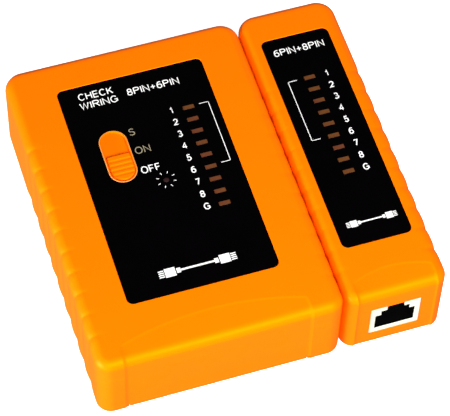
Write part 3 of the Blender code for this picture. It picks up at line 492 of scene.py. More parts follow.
def moulded_plastic(name, color, roughness, grain=GRAIN, depth=GRAIN_DEPTH, specular=0.3, tint=(1, 1, 1)):
    """Spark-eroded mould texture: a fine grain, slow drifts of shade, and smoother patches from handling."""
    finish = Finish(name, specular=specular)
    finish.set("Specular Tint", tint)
    drift = finish.noise(18 * MM, 3)
    worn = finish.ramp(finish.noise(9 * MM, 4), 0.35, 0.7)
    finish.set("Base Color", finish.blend(drift, shade(color, 0.97), shade(color, 1.03)))
    finish.set("Roughness", roughness - 0.05 + 0.08 * worn)
    return finish.bump(finish.noise(grain, 3), depth)


def overlay_film(name, color):
    """Matt polyester film: barely lighter in slow clouds, with a fine satin grain."""
    finish = Finish(name, specular=0.02)
    cloud = finish.noise(12 * MM, 3)
    finish.set("Base Color", finish.blend(cloud, shade(color, 0.6), shade(color, 1.5)))
    finish.set("Roughness", 0.28 + 0.1 * finish.noise(3 * MM, 3))
    return finish.bump(finish.noise(0.4 * MM), 0.0015 * MM)


def screen_ink(name, color):
    """Screen-printed ink: a dense coat that thins a little in fine specks."""
    finish = Finish(name, specular=0.2, roughness=0.55)
    specks = finish.ramp(finish.noise(0.35 * MM, 3), 0.3, 0.55)
    finish.set("Base Color", finish.blend(specks, shade(color, 0.8), color))
    return finish.bump(finish.noise(0.2 * MM), 0.002 * MM)


def lamp_plastic(name, color):
    """Cloudy tinted epoxy whose tint differs from lamp to lamp, with a darker core."""
    finish = Finish(name, specular=0.3)
    lot = finish.ramp(finish.noise(5 * MM, 0), 0.38, 0.62)
    cloud = finish.noise(0.9 * MM, 3)
    tint = finish.blend(lot, color, (color[0], 0.72 * color[1], 1.5 * color[2]))
    finish.set("Base Color", finish.blend(cloud, shade(color, 0.55), tint))
    finish.set("Roughness", 0.3 + 0.2 * cloud)
    return finish.bump(finish.noise(0.5 * MM), 0.01 * MM)


def metal(name, color, roughness, brushed=(1, 1, 1)):
    """Plated or rolled metal: streaks along one axis, a few dull patches and fine scratches."""
    finish = Finish(name, metallic=1.0)
    streaks = finish.noise(0.6 * MM, 4, brushed)
    dull = finish.ramp(finish.noise(2.5 * MM, 3), 0.5, 0.75)
    finish.set("Base Color", finish.blend(dull, color, shade(color, 0.72)))
    finish.set("Roughness", roughness + 0.14 * dull + 0.08 * streaks)
    return finish.bump(streaks, 0.004 * MM)


def board_laminate(name, mask, copper):
    """Solder mask over woven glass: copper tracks show as paler bands under it, over a faint weave."""
    finish = Finish(name, specular=0.5)
    bands = {"wave_type": "BANDS", "bands_direction": "DIAGONAL"}
    tracks = finish.node("ShaderNodeTexWave", bands, {"Vector": finish.place, "Scale": 90, "Distortion": 4})
    share = finish.ramp(tracks, 0.55, 0.7)
    weave = finish.noise(0.3 * MM, 2)
    finish.set("Base Color", finish.blend(share, shade(mask, 0.8), copper))
    finish.set("Roughness", 0.32 + 0.12 * weave)
    return finish.bump(share + 0.3 * weave, 0.02 * MM)


def printed_jacket(name, color, band):
    """Battery jacket: a dark lacquered sleeve with one pale metallic end band and fine scuffs."""
    finish = Finish(name, specular=0.5)
    low, high = (corner[0] for corner in corners_of("battery_9v"))
    along = finish.node("ShaderNodeSeparateXYZ", {}, {0: finish.place}, 0)
    share = finish.ramp(along, low + 0.66 * (high - low), low + 0.665 * (high - low))
    scuff = finish.ramp(finish.noise(0.5 * MM, 5, (0.2, 1, 1)), 0.6, 0.75)
    finish.set("Base Color", finish.blend(share, finish.blend(scuff, color, shade(color, 3)), band))
    finish.set("Metallic", 0.9 * share)
    finish.set("Roughness", 0.28 + 0.25 * scuff)
    return finish.bump(finish.noise(1.5 * MM), 0.02 * MM)


def wire_sheath(name, color):
    """Soft PVC: a waxy sheen with slow dents."""
    finish = Finish(name, specular=0.4)
    finish.set("Base Color", finish.blend(finish.noise(3 * MM), shade(color, 0.8), shade(color, 1.2)))
    finish.set("Roughness", 0.38 + 0.15 * finish.noise(1 * MM, 3))
    return finish.bump(finish.noise(1.2 * MM), 0.03 * MM)


def paper_floor(name, color):
    """Seamless studio paper with a faint tooth."""
    finish = Finish(name, specular=0.1, roughness=0.9)
    paper = finish.blend(finish.noise(40 * MM, 3), shade(color, 0.99), color)
    finish.set("Base Color", paper)
    finish.set("Emission Color", paper)
    finish.set("Emission Strength", settings_of("stage").glow)
    return finish.bump(finish.noise(0.8 * MM, 3), 0.01 * MM)


# Each finish is its recipe and what the recipe takes. A text is the group and the name of a setting.
FINISHES = {
    "casing_orange": (
        moulded_plastic, "casing.color", "casing.roughness", GRAIN, GRAIN_DEPTH, 0.4, "casing.sheen"
    ),
    # A paler orange for the top of the switch's lip: a painted highlight.
    "rim_orange": (moulded_plastic, (0.75, 0.3, 0.08), 0.4),
    "label_black": (overlay_film, "label.film"),
    "white_ink": (screen_ink, "label.ink"),
    "pale_ink": (screen_ink, "label.pale_ink"),
    "lamp_red": (lamp_plastic, "lamp.color"),
    "power_lamp_red": (lamp_plastic, "lamp.power"),
    "jack_white": (moulded_plastic, (0.66, 0.65, 0.52), 0.42, 0.3 * MM),
    # Near-black put on the white jacks' mouths and roofs: painted shade.
    "mouth_black": (moulded_plastic, (0.001, 0.001, 0.001), 0.9, 0.3 * MM, GRAIN_DEPTH, 0.02),
    "clip_black": (moulded_plastic, (0.012, 0.012, 0.013), 0.5, 0.5 * MM, 0.02 * MM),
    "chip_epoxy": (moulded_plastic, (0.014, 0.014, 0.016), 0.55, 0.15 * MM, 0.008 * MM),
    "contact_gold": (metal, (0.5, 0.33, 0.12), 0.35, (1, 0.15, 1)),
    "screw_steel": (metal, (0.58, 0.58, 0.6), 0.28, (1, 1, 0.3)),
    "can_steel": (metal, (0.62, 0.62, 0.63), 0.3, (0.2, 1, 1)),
    "board_green": (board_laminate, (0.012, 0.11, 0.035), (0.05, 0.22, 0.06)),
    "battery_jacket": (printed_jacket, (0.015, 0.016, 0.02), (0.75, 0.42, 0.16)),
    "sheath_red": (wire_sheath, (0.5, 0.012, 0.01)),
    "sheath_black": (wire_sheath, (0.012, 0.012, 0.012)),
    "sleeve_blue": (wire_sheath, (0.02, 0.03, 0.16)),
    "floor_paper": (paper_floor, "stage.floor"),
}
CASING = ("casing_orange",)


def settings_of(group):
    return getattr(bpy.context.scene, f"tester_{group}")


def finish_of(name):
    """The named material, made the first time it is asked for."""
    if name in bpy.data.materials:
        return bpy.data.materials[name]
    recipe, *values = FINISHES[name]
    for index, value in enumerate(values):
        if isinstance(value, str):
            group, setting = value.split(".")
            values[index] = getattr(settings_of(group), setting)
    return recipe(name, *values)


# --- casings --------------------------------------------------------------------------------------


SIDE_STEPS = 24  # stations over one finger groove
CORNER_STEPS = 20
EDGE_STEPS = 14
LOW_EDGE_STEPS = 6
SMALLEST_CORNER = 0.4 * MM
GROOVE_SOFTNESS = 0.12  # rounding of a groove's foot, as a share of its depth
GROOVE_RUN_OUT = (2.6 * MM, 4.4 * MM)  # where a groove starts to run out over the upper edge, and for how long
GROOVE_SHARPENING = 2.4  # how much a groove narrows on its way over the edge
SCOOP_SPANS = {"main": (-30.5 * MM, 28.3 * MM), "remote": (-13.2 * MM, 13.2 * MM)}
SCOOP_FADE = 1.6 * MM  # over which either end of the scoop comes out of the plain casing
BED_DEPTH = 0.7 * MM
BOSS_RADIUS = 3 * MM
PILOT_RADIUS = 1.25 * MM
WINDOW_AT = np.array((MAIN["x"] - 11.6 * MM, 14.85 * MM))  # the power switch's window
WINDOW_SIZE = np.array((7.9 * MM, 18.4 * MM))
SWITCH_TRAVEL = next(j for j in frame["joints"] if j["name"] == "power_switch")["range_m"][1]
SWITCH_DEPTH = 0.95 * MM  # from the case's top to the pocket that the slider's plate runs in


def plan_stations(unit, casing):
    """Stations round a casing seen from above, anticlockwise from the near left corner: the corner circle that
    each belongs to as signs or shares of its place, the outward direction, and the corner radius."""
    half_y = unit["half"][1]
    counts = np.arange(-0.5, casing.grooves - 0.5 + 0.5 / SIDE_STEPS, 1 / SIDE_STEPS)
    side = casing.groove_first - half_y + casing.groove_pitch * counts
    shares = side / (half_y - np.where(side < 0, casing.near_corner, casing.far_corner))
    turn = np.linspace(0, np.pi / 2, CORNER_STEPS + 1)
    across = np.linspace(-1, 1, 9)[1:-1]
    runs = (across, shares, -across, shares[::-1])
    columns = []
    for quarter, (kx, ky) in enumerate(((-1, -1), (1, -1), (1, 1), (-1, 1))):
        angles, run = turn + (quarter + 2) * np.pi / 2, runs[quarter]
        columns.append((np.full(len(turn), kx), np.full(len(turn), ky), np.cos(angles), np.sin(angles)))
        wall, none = np.full(len(run), (ky, kx)[quarter % 2]), np.zeros(len(run))
        columns.append((wall, run, wall, none) if quarter % 2 else (run, wall, none, wall))
    kx, ky, ax, ay = (np.concatenate([column[i] for column in columns]) for i in range(4))
    return kx, ky, ax, ay, np.where(ky < 0, casing.near_corner, casing.far_corner)


def casing_solid(name, unit, casing, profile):
    """Outside of a casing. Each profile row is (inset, height, outward share, upward share of the surface's
    direction, groove share, sharpness). Point = rounded rectangle moved in by the inset, less, along the
    surface's direction, groove depth x groove share x (1 - |sin(pi t)|) ^ sharpness, with t counting grooves."""
    kx, ky, ax, ay, corner = plan_stations(unit, casing)
    half_x, half_y = unit["half"]
    deepest = np.where(ax == unit["facing"], casing.facing_depth, casing.groove_depth)
    rings = []
    for inset, height, outward, upward, share, sharpness in profile:
        radius = np.maximum(corner - inset, SMALLEST_CORNER)
        x = kx * (half_x - inset - radius) + ax * radius
        y = ky * (half_y - inset - radius) + ay * radius
        t = (y + half_y - casing.groove_first) / casing.groove_pitch
        gripped = (np.abs(ax) == 1) & (t > -0.5) & (t < casing.grooves - 0.5)
        wave = np.sqrt(np.sin(np.pi * t) ** 2 + GROOVE_SOFTNESS**2 * np.cos(np.pi * t) ** 2)
        dip = np.where(gripped, 1 - wave, 0) ** sharpness * share * deepest
        out = dip * outward
        rings.append(np.stack([unit["x"] + x - out * ax, y - out * ay, height - dip * upward], -1))
    return loft(name, rings)


def top_profile(unit, casing):
    """From the parting line up the wall, round the upper edge and in over the top, where the grooves run out."""
    radius, low, top = casing.top_edge, unit["part"] + PARTING / 2, unit["top"]
    shoulder = top - radius

    def grip(run):
        return 1 - smoothstep((run - GROOVE_RUN_OUT[0]) / GROOVE_RUN_OUT[1])

    rows = [(PARTING, low, 1, 0, 1, 1), (0, low + PARTING, 1, 0, 1, 1)]
    rows += [(0, low + share * (shoulder - low), 1, 0, 1, 1) for share in (0.35, 0.7, 0.95)]
    for angle in np.linspace(0, np.pi / 2, EDGE_STEPS + 1):
        out, up = math.cos(angle), math.sin(angle)
        sharpness = 1 + GROOVE_SHARPENING * angle / (np.pi / 2)
        rows.append((radius * (1 - out), shoulder + radius * up, out, up, grip(radius * angle), sharpness))
    for inset in np.array((3.2, 3.5, 3.8, 4.1, 4.5, 4.9, 5.4)) * MM:
        share = grip(radius * (np.pi / 2 - 1) + inset)
        rows.append((inset, top, 0, 1, share, 1 + GROOVE_SHARPENING))
    return rows + [(inset, top, 0, 1, 0, 1) for inset in (6 * MM, 7 * MM)]


def bottom_profile(unit, casing):
    """From the underside round the lower edge and up the wall to the parting line."""
    radius, high = casing.bottom_edge, unit["part"] - PARTING / 2
    rows = [(2.4 * MM, 0, 1, 0, 0, 1), (1.6 * MM, 0, 1, 0, 0.2, 1)]
    for angle in np.linspace(0, np.pi / 2, LOW_EDGE_STEPS + 1):
        out, up = math.sin(angle), 1 - math.cos(angle)
        rows.append((radius * (1 - out), radius * up, 1, 0, 0.5 + 0.5 * out, 1))
    rows += [(0, radius + share * (high - radius), 1, 0, 1, 1) for share in (0.05, 0.35, 0.7, 0.95)]
    return rows + [(0, high - PARTING, 1, 0, 1, 1), (PARTING, high, 1, 0, 1, 1)]


def scoop(unit, casing):
    """All that the near end's scoop takes away: a drop in front of an arc, a plane that falls towards the end, a
    new rounded edge and a recessed end face. Row by row it blends, over a short run at both sides, between a
    skin just outside the plain casing and that shape. At d in front of the arc,
    depth = step x smoothstep(d / ramp) + slope x d."""
    top, half_y, edge, low_edge = unit["top"], unit["half"][1], casing.top_edge, casing.bottom_edge
    labels = ("scoop_radius", "scoop_reach", "recess")
    radius, reach, recess = (getattr(casing, f"{unit['name']}_{label}") for label in labels)
    left, right = SCOOP_SPANS[unit["name"]]
    fade = SCOOP_FADE * np.linspace(0, 1, 11)
    inner = np.linspace(left + 2 * MM, right - 2 * MM, 90)
    x = np.concatenate([left + fade, inner, right - fade[::-1]])
    arc = reach - half_y - radius + np.sqrt(radius**2 - (x - (left + right) / 2) ** 2)
    inside = smoothstep((x - left) / SCOOP_FADE) * smoothstep((right - x) / SCOOP_FADE)
    end, slope = recess - half_y, casing.scoop_slope

    def depth(d):
        fall = casing.scoop_step * smoothstep(d / casing.scoop_ramp) + slope * d
        return np.where(d > 0, fall, 0.02 * d) - 2e-6

    start = np.pi / 2 - math.atan(slope)
    foot = end + edge * (1 - math.cos(start))
    offsets = np.array((-1, -0.3, 0, 0.1, 0.2, 0.3, 0.45, 0.6, 0.75, 0.9, 1.2)) * MM
    rows = [(arc - d, top - depth(d), arc - d, top + SKIN_GAP) for d in offsets]
    for share in np.linspace(0, 1, 10)[1:]:
        y = (arc - offsets[-1]) * (1 - share) + foot * share
        rows.append((y, top - depth(arc - y), y, top + SKIN_GAP))
    low = top - depth(arc - foot) - edge * math.sin(start)
    out = edge + SKIN_GAP
    for angle in np.linspace(start, 0, EDGE_STEPS + 1)[1:]:
        up, along = math.sin(angle), math.cos(angle)
        skin = edge - half_y - out * along, top - edge + out * up
        rows.append((end + edge * (1 - along), low + edge * up, *skin))
    rows += [(end, z, -half_y - SKIN_GAP, z) for z in (18 * MM, 10 * MM, low_edge)]
    out = low_edge + SKIN_GAP
    for angle in np.linspace(0, np.pi / 2, LOW_EDGE_STEPS + 1)[1:]:
        up, along = math.sin(angle), math.cos(angle)
        skin = low_edge - half_y - out * along, low_edge - out * up
        rows.append((end + low_edge * (1 - along), low_edge * (1 - up), *skin))
    rows.append((end + low_edge, -PAST, low_edge - half_y, -PAST))
    away = -half_y - 4 * PAST
    rows += [(y, z, y, z) for y, z in ((away, -PAST), (away, top + PAST), (arc + PAST, top + PAST))]
    rings = []
    for y_in, z_in, y_out, z_out in rows:
        y, z = inside * y_in + (1 - inside) * y_out, inside * z_in + (1 - inside) * z_out
        rings.append(np.stack([unit["x"] + x, y, z], -1))
    return loft("scoop", np.swapaxes(rings, 0, 1))


def cavity(unit, casing, low, high):
    """The hollow of a casing, its outside moved in by the wall."""
    inner = unit["half"] * 2 - 2 * casing.wall
    return slab("cavity", (unit["x"], 0), inner, casing.near_corner - casing.wall / 2, ((low, 0), (high, 0)))


def label_bed(unit):
    """The pocket of a label, whose upper rim is chamfered."""
    node, top = f"{unit['name']}_label", unit["top"]
    levels = [(top - BED_DEPTH, 0)] + levels_mm(top, (-0.12, 0), (0.05, 0.17), (1, 0.17))
    corner = settings_of("label").corner + 0.1 * MM
    return slab("bed", middle_of(node)[:2], size_of(node)[:2] + 0.2 * MM, corner, levels, 12)


def lamp_slots(unit):
    """Slots in the bed's floor over the lamps."""
    levels = ((unit["top"] - 4 * MM, 0), (unit["top"] + PAST, 0))
    slots = []
    for lamp in LAMP_NAMES:
        node = f"{unit['name']}_led_{lamp}"
        size = size_of(node)[:2] + 4 * SKIN_GAP
        slots.append(slab("slot", middle_of(node)[:2], size, 0.3 * MM, levels, 3))
    return slots


def bosses(unit, foot):
    """Screw bosses under the ceiling, which start above the parting line, and the pilot holes in them."""
    low, high = unit["part"] + foot, unit["top"] - MM
    tip = corners_of(f"{unit['name']}_case_screw_1")[1][2]
    made = [rod("boss", at, BOSS_RADIUS, low, high) for at in unit["posts"]]
    return made, [rod("pilot", at, PILOT_RADIUS, low - PAST, tip + MM) for at in unit["posts"]]


def posts(unit):
    """Screw posts on the floor, and the stepped bores that open through the underside."""
    high = corners_of(f"{unit['name']}_bottom_case")[1][2]
    post = levels_mm(0, (1, 4.4), (3, 4)) + [(high, 3.9 * MM)]
    bore = levels_mm(0, (-1, 3.1), (0.35, 2.7), (8.9, 2.7), (9.1, 1.5)) + [(high + PAST, 1.5 * MM)]
    made = [turned("post", at, post) for at in unit["posts"]]
    return made, [turned("bore", at, bore) for at in unit["posts"]]


def window_shape(name, levels):
    """The switch window's long round-ended outline at (height, growth) levels."""
    return slab(name, WINDOW_AT, WINDOW_SIZE, WINDOW_SIZE[0] / 2 * 0.998, levels, 20)


def upper_shell(unit, casing, foot):
    """A unit's top with its scoop, hollow, bosses, label bed and lamp slots."""
    piece = casing_solid(f"{unit['name']}_upper_shell", unit, casing, top_profile(unit, casing))
    hollow = cavity(unit, casing, unit["part"] - 2 * PAST, unit["top"] - casing.wall)
    combine(piece, "DIFFERENCE", scoop(unit, casing), hollow)
    made, holes = bosses(unit, foot)
    combine(piece, "UNION", *made)
    return combine(piece, "DIFFERENCE", label_bed(unit), *lamp_slots(unit), *holes)


def make_main_top(casing):
    """The main unit's upper shell, with the switch's lip, window and pocket and the power lamp's hole, and a paler
    orange on the lip's top as a painted highlight.
    """
    piece = upper_shell(MAIN, casing, 0.4 * MM)
    top = MAIN["top"]
    under = top - casing.wall - PAST
    lip = levels_mm(top, (-0.9, 0.5), (-0.2, 0.5), (-0.06, 0.44), (0, 0.28))
    combine(piece, "UNION", window_shape("lip", lip))
    hole = [(under, 0)] + levels_mm(top, (-0.14, 0), (-0.04, 0.06), (0.1, 0.22))
    lamp = rod("hole", middle_of("power_led")[:2], 1.8 * MM, under, top + PAST)
    low, high = corners_of("switch_knob")
    slack = 0.3 * MM
    far = high[1] + SWITCH_TRAVEL + slack
    pocket = block("pocket", (*(low[:2] - slack), under), (high[0] + slack, far, top - SWITCH_DEPTH))
    combine(piece, "DIFFERENCE", window_shape("hole", hole), lamp, pocket)
    finish_piece(piece, "main_unit", ("casing_orange", "rim_orange"), ["main_top_case"])
    # The band round the window on the lip's top takes the second material, a paler orange that is a painted
    # highlight.
    centers = np.empty(len(piece.data.polygons) * 3, np.float32)
    piece.data.polygons.foreach_get("center", centers)
    x, y, z = centers.reshape(-1, 3).T
    straight = (WINDOW_SIZE[1] - WINDOW_SIZE[0]) / 2
    beyond = np.maximum(np.abs(y - WINDOW_AT[1]) - straight, 0)
    away = np.hypot(x - WINDOW_AT[0], beyond) - WINDOW_SIZE[0] / 2
    coat(piece, (), (away > 0.2 * MM) & (away < 0.55 * MM) & (z > top - 0.3 * MM))


def make_remote_top(casing):
    piece = upper_shell(REMOTE, casing, 2.1 * MM)
    finish_piece(piece, "remote_unit", CASING, ["remote_top_case"])


def jack_slot(node, unit, side):
    """Slot in an end wall round a jack, open at the parting line. Side is -1 at the near end, 1 at the far."""
    low, high = corners_of(node)
    y = np.sort([side * (unit["half"][1] + PAST), side * (unit["half"][1] - 4 * MM)])
    gap = 3 * SKIN_GAP
    return block("slot", (low[0] - gap, y[0], low[2] - gap), (high[0] + gap, y[1], unit["part"] + PAST))


RAIL_SPAN = (-43.7 * MM, 50 * MM)
RAIL_NECK = (8 * MM, 13 * MM)
RAIL_HEAD = (6 * MM, 15 * MM)
RAIL_REACH = 2.9 * MM
RAIL_THICK = 1.9 * MM
RAIL_SLACK = 0.3 * MM
RAIL_CHAMFERS = (0.5 * MM, 0.2 * MM)  # at the head's tip and behind it
CHANNEL_WALL = 1.8 * MM


def rail():
    """The T-shaped rail on the remote unit's side, as a section carried along Y."""
    side = REMOTE["x"] - REMOTE["half"][0]
    root, inner, tip = side + 1.1 * MM, side - RAIL_REACH, side - RAIL_REACH - RAIL_THICK
    (neck_low, neck_high), (low, high), (tip_cut, cut) = RAIL_NECK, RAIL_HEAD, RAIL_CHAMFERS
    upper = (root, neck_high), (inner, neck_high), (inner, high - cut), (inner - cut, high)
    upper += (tip + tip_cut, high), (tip, high - tip_cut)
    lower = (tip, low + tip_cut), (tip + tip_cut, low), (inner - cut, low), (inner, low + cut)
    outline = np.array(((root, neck_low), *upper, *lower, (inner, neck_low)))
    return swept("rail", outline, np.zeros_like(outline), [(y, 0) for y in RAIL_SPAN], "Y")


def channel():
    """The block inside the main unit's side wall, and the T-shaped channel cut in it, open at the far end."""
    outer, side = MAIN["x"] + MAIN["half"][0], REMOTE["x"] - REMOTE["half"][0]
    slack, wall, far = RAIL_SLACK, CHANNEL_WALL, MAIN["half"][1]
    inner, tip = side - RAIL_REACH + slack, side - RAIL_REACH - RAIL_THICK - slack
    start, low, high = RAIL_SPAN[0] - slack, RAIL_HEAD[0] - slack, RAIL_HEAD[1] + slack
    mouth = RAIL_NECK[0] - slack, RAIL_NECK[1] + slack
    body = block("body", (tip - wall, start - wall, low - wall), (outer - MM, far - MM, high + wall))
    head = block("head", (tip, start, low), (inner, far + PAST, high))
    neck = block("neck", (inner - slack, start, mouth[0]), (outer + PAST, far + PAST, mouth[1]))
    size, at = (far - start, mouth[1] - mouth[0]), ((far + start) / 2, sum(mouth) / 2)
    flare = slab("flare", at, size, 0, levels_mm(outer, (-0.35, 0), (1, 1.35)), along="X")
    return body, head, neck, flare


def lower_shell(unit, casing, solids, cutters):
    """A unit's bottom with its scoop, hollow and screw posts, and what else is joined to it and cut from it."""
    piece = casing_solid(f"{unit['name']}_lower_shell", unit, casing, bottom_profile(unit, casing))
    combine(piece, "DIFFERENCE", scoop(unit, casing), cavity(unit, casing, casing.wall, unit["part"] + PAST))
    made, bores = posts(unit)
    combine(piece, "UNION", *made, *solids)
    combine(piece, "DIFFERENCE", *cutters, *bores)
    finish_piece(piece, unit["body"], CASING, [f"{unit['name']}_bottom_case"])


BAY_EAST = 28.2 * MM
BAY_NEAR = 1 * MM
BAY_FAR = -23.6 * MM
BAY_WALL = 1.4 * MM
LEAD_NOTCH = ((20 * MM, 26.5 * MM), 15 * MM)  # sides and floor of the gap in the bay's wall for the leads
DOOR_TONGUE = 0.9 * MM
DOOR_TONGUE_LOW = 1.1 * MM


def make_main_bottom(casing):
    """The main unit's lower shell, with the rail's channel, the battery bay, the door's ways and the jack slots."""
    body, *hollows = channel()
    (door_low, door_high), end, gap = corners_of("battery_door"), -MAIN["half"][1], 3 * SKIN_GAP
    west, east = corners_of("battery_9v")[0][0] - 0.6 * MM, MAIN["x"] + BAY_EAST
    near, far, wall, top = end + BAY_NEAR, BAY_FAR, BAY_WALL, MAIN["part"] - CASE_GAP
    bay = [block("bay", (west - wall, far, MM), (east + wall, far + wall, top))]
    bay += [block("bay", (x, near, MM), (x + wall, far + wall / 2, top)) for x in (west - wall, east)]
    plate_low, plate_high = door_low[0] + DOOR_TONGUE - gap, door_high[0] - DOOR_TONGUE + gap
    (notch_low, notch_high), floor = LEAD_NOTCH
    notch = (MAIN["x"] + notch_low, far - PAST, floor), (MAIN["x"] + notch_high, far + wall + PAST, top + PAST)
    cutters = [
        *hollows,
        block("door", (plate_low, end - PAST, -PAST), (plate_high, *(door_high[1:] + gap))),
        block("ways", (door_low[0] - gap, end - PAST, DOOR_TONGUE_LOW - gap), door_high + gap),
        block("bay", (west, near + 1.2 * MM, MM), (plate_high, far, 3 * MM)),
        jack_slot("main_rj45_jack", MAIN, 1),
        jack_slot("main_rj11_jack", MAIN, 1),
        block("notch", *notch),
    ]
    lower_shell(MAIN, casing, (body, *bay), cutters)


def make_remote_bottom(casing):
    slots = jack_slot("remote_rj45_jack", REMOTE, -1), jack_slot("remote_rj11_jack", REMOTE, 1)
    lower_shell(REMOTE, casing, [rail()], slots)


# --- labels ---------------------------------------------------------------------------------------


PRINT_RAISE = 0.012 * MM  # thickness of the print as drawn
STROKE_LIFT = 0.003 * MM  # how much higher each stroke of a character lies than the one that it crosses
SHARPEST_MITRE = 0.35
LETTER_GAP = 0.13  # between characters, and the weights of their strokes, as shares of the height
WHITE_WEIGHT, DIGIT_WEIGHT, PALE_WEIGHT = 0.13, 0.15, 0.12
LAST_BRACKETED = 5  # the bracket joins the first lamp's row and this one, counted from 0
# Places are in millimetres from the middle of a unit: captions as words, middle and width; the digits' place
# beside their lamps; the bracket's two columns and its rows' places beside their lamps; the sign's middle,
# length and height.
PRINTS = {
    "main": {
        "white": (
            ("CHECK", (-11.8, 39.3), 11.0),
            ("WIRING", (-11.65, 35.8), 12.1),
            ("8PIN+6PIN", (6.05, 36.95), 16.7),
            ("OFF", (-3.35, 7.8), 6.1),
        ),
        "pale": (("S", (-5.1, 22.3), 0), ("ON", (-3.72, 15.2), 4.85)),
        "digits": (-5.45, 0.3),
        "bracket": ((17.9, 20.75), (0.2, 0.4)),
        "sign": ((0, -29.25), 24, 3),
    },
    "remote": {
        "white": (("6PIN+8PIN", (0.05, 37.85), 16.5),),
        "pale": (),
        "digits": (5.65, 0),
        "bracket": ((-4.67, -7.4), (-0.1, -0.1)),
        "sign": ((0.5, -29), 16, 2.2),
    },
}
RAYS = (8, 2.25 * MM, 3.05 * MM, 0.21 * MM)  # count, ends and width of the bars round the power lamp
# Start, end and height of a plug's two steps, and the heights of its pins, as shares of the sign's own
PLUG_STEPS = ((0.22, 0.27, 0.55), (0.285, 0.42, 1.0))
PLUG_PINS = (-0.34, -0.115, 0.115, 0.34)


def bow(middle, radii, start, end, steps=12):
    """Points of an elliptical arc between two angles in degrees."""
    angles = np.radians(np.linspace(start, end, steps + 1))
    return [(middle[0] + radii[0] * math.cos(a), middle[1] + radii[1] * math.sin(a)) for a in angles]


def glyph(character):
    """Width of a plain sans-serif character and its pen strokes, in a box that runs from 0 to 1 both ways."""
    stem = [(0, 0), (0, 1)]
    upper_bowl = [(0, 1), *bow((0.6, 0.76), (0.38, 0.24), 90, -90), (0, 0.52)]
    return {
        "C": (0.78, [bow((0.52, 0.5), (0.52, 0.5), 42, 318, 24)]),
        "E": (0.66, [[(1, 1), (0, 1), (0, 0), (1, 0)], [(0, 0.52), (0.92, 0.52)]]),
        "F": (0.62, [[(1, 1), (0, 1), (0, 0)], [(0, 0.5), (0.86, 0.5)]]),
        "G": (0.82, [bow((0.5, 0.5), (0.5, 0.5), 42, 325, 24), [(0.56, 0.46), (0.96, 0.46), (0.96, 0.1)]]),
        "H": (0.74, [stem, [(1, 0), (1, 1)], [(0, 0.52), (1, 0.52)]]),
        "I": (0.12, [[(0.5, 0), (0.5, 1)]]),
        "K": (0.72, [stem, [(0.95, 1), (0, 0.36)], [(0.36, 0.6), (1, 0)]]),
        "N": (0.74, [[(0, 0), (0, 1), (1, 0), (1, 1)]]),
        "O": (0.84, [bow((0.5, 0.5), (0.5, 0.5), 0, 360, 28)]),
        "P": (0.7, [stem, upper_bowl]),
        "R": (0.76, [stem, upper_bowl, [(0.5, 0.52), (1, 0)]]),
        "S": (0.7, [bow((0.5, 0.76), (0.46, 0.24), 25, 250) + bow((0.5, 0.26), (0.5, 0.26), 75, -155)]),
        "W": (1.05, [[(0, 1), (0.26, 0), (0.5, 1), (0.74, 0), (1, 1)]]),
        "+": (0.62, [[(0, 0.46), (1, 0.46)], [(0.5, 0.12), (0.5, 0.8)]]),
        "1": (0.4, [[(0.05, 0.68), (0.5, 0.78), (0.8, 1), (0.8, 0)]]),
        "2": (0.62, [[*bow((0.5, 0.7), (0.47, 0.3), 165, -35), (0, 0), (1, 0)]]),
        "3": (0.62, [bow((0.48, 0.76), (0.42, 0.24), 155, -85) + bow((0.48, 0.27), (0.5, 0.27), 85, -155)]),
        "4": (0.66, [[(0.72, 0), (0.72, 1), (0, 0.28)], [(0, 0.26), (1, 0.26)]]),
        "5": (0.62, [[(0.92, 1), (0.18, 1), (0.08, 0.46), *bow((0.48, 0.32), (0.5, 0.32), 125, -155)]]),
        "6": (0.62, [bow((0.5, 0.31), (0.5, 0.31), 0, 360, 24), bow((0.62, 0.42), (0.62, 0.58), 60, 185)]),
        "7": (0.6, [[(0, 1), (1, 1), (0.34, 0)]]),
        "8": (0.62, [bow((0.5, 0.76), (0.42, 0.24), 0, 360, 20), bow((0.5, 0.27), (0.5, 0.27), 0, 360, 20)]),
    }[character]


def ribbon(points, width, z):
    """Raised band of even width along a pen stroke: the stroke moved to either side by half the width along the
    mitred sides of its corners, and lifted. Returns points and polygons."""
    line = np.array(points, float)
    looped = np.allclose(line[0], line[-1])
    line = line[:-1] if looped else line
    count = len(line)
    after, before = np.roll(line, -1, 0) - line, line - np.roll(line, 1, 0)
    if not looped:
        after[-1], before[0] = before[-1], after[0]
    both = 0
    for way in (after, before):
        both = both + np.stack([-way[:, 1], way[:, 0]], -1) / np.linalg.norm(way, axis=1, keepdims=True)
    mitre = both / np.maximum((both**2).sum(1, keepdims=True) / 2, SHARPEST_MITRE)
    left, right = line - mitre * width / 2, line + mitre * width / 2
    low, high = (np.full((count, 1), z + sign * PRINT_RAISE / 2) for sign in (-1, 1))
    rows = [np.hstack(pair) for pair in ((left, low), (right, low), (right, high), (left, high))]
    here = np.arange(count if looped else count - 1)
    there = (here + 1) % count
    faces = []
    for k in range(4):
        a, b = k * count, (k + 1) % 4 * count
        faces += np.stack([here + a, here + b, there + b, there + a], -1).tolist()
    if not looped:
        faces += [[0, 3 * count, 2 * count, count], [(k + 1) * count - 1 for k in range(4)]]
    return np.concatenate(rows), faces


def lettering(words, middle, height, width, weight, z):
    """Words drawn with pen strokes, centred on a middle, with a weight as a share of their height, and drawn out
    to a width unless it is 0. Returns a list of bands."""
    advance = [glyph(character)[0] for character in words]
    total = sum(advance) + LETTER_GAP * (len(words) - 1)
    scale, pen = width / total if width else height, weight * height
    start, bands = np.array(middle) - (total * scale / 2, height / 2) + pen / 2, []
    for character, share in zip(words, advance):
        for index, stroke in enumerate(glyph(character)[1]):
            placed = start + np.array(stroke) * (share * scale - pen, height - pen)
            bands.append(ribbon(placed, pen, z + index * STROKE_LIFT))
        start[0] += (share + LETTER_GAP) * scale
    return bands


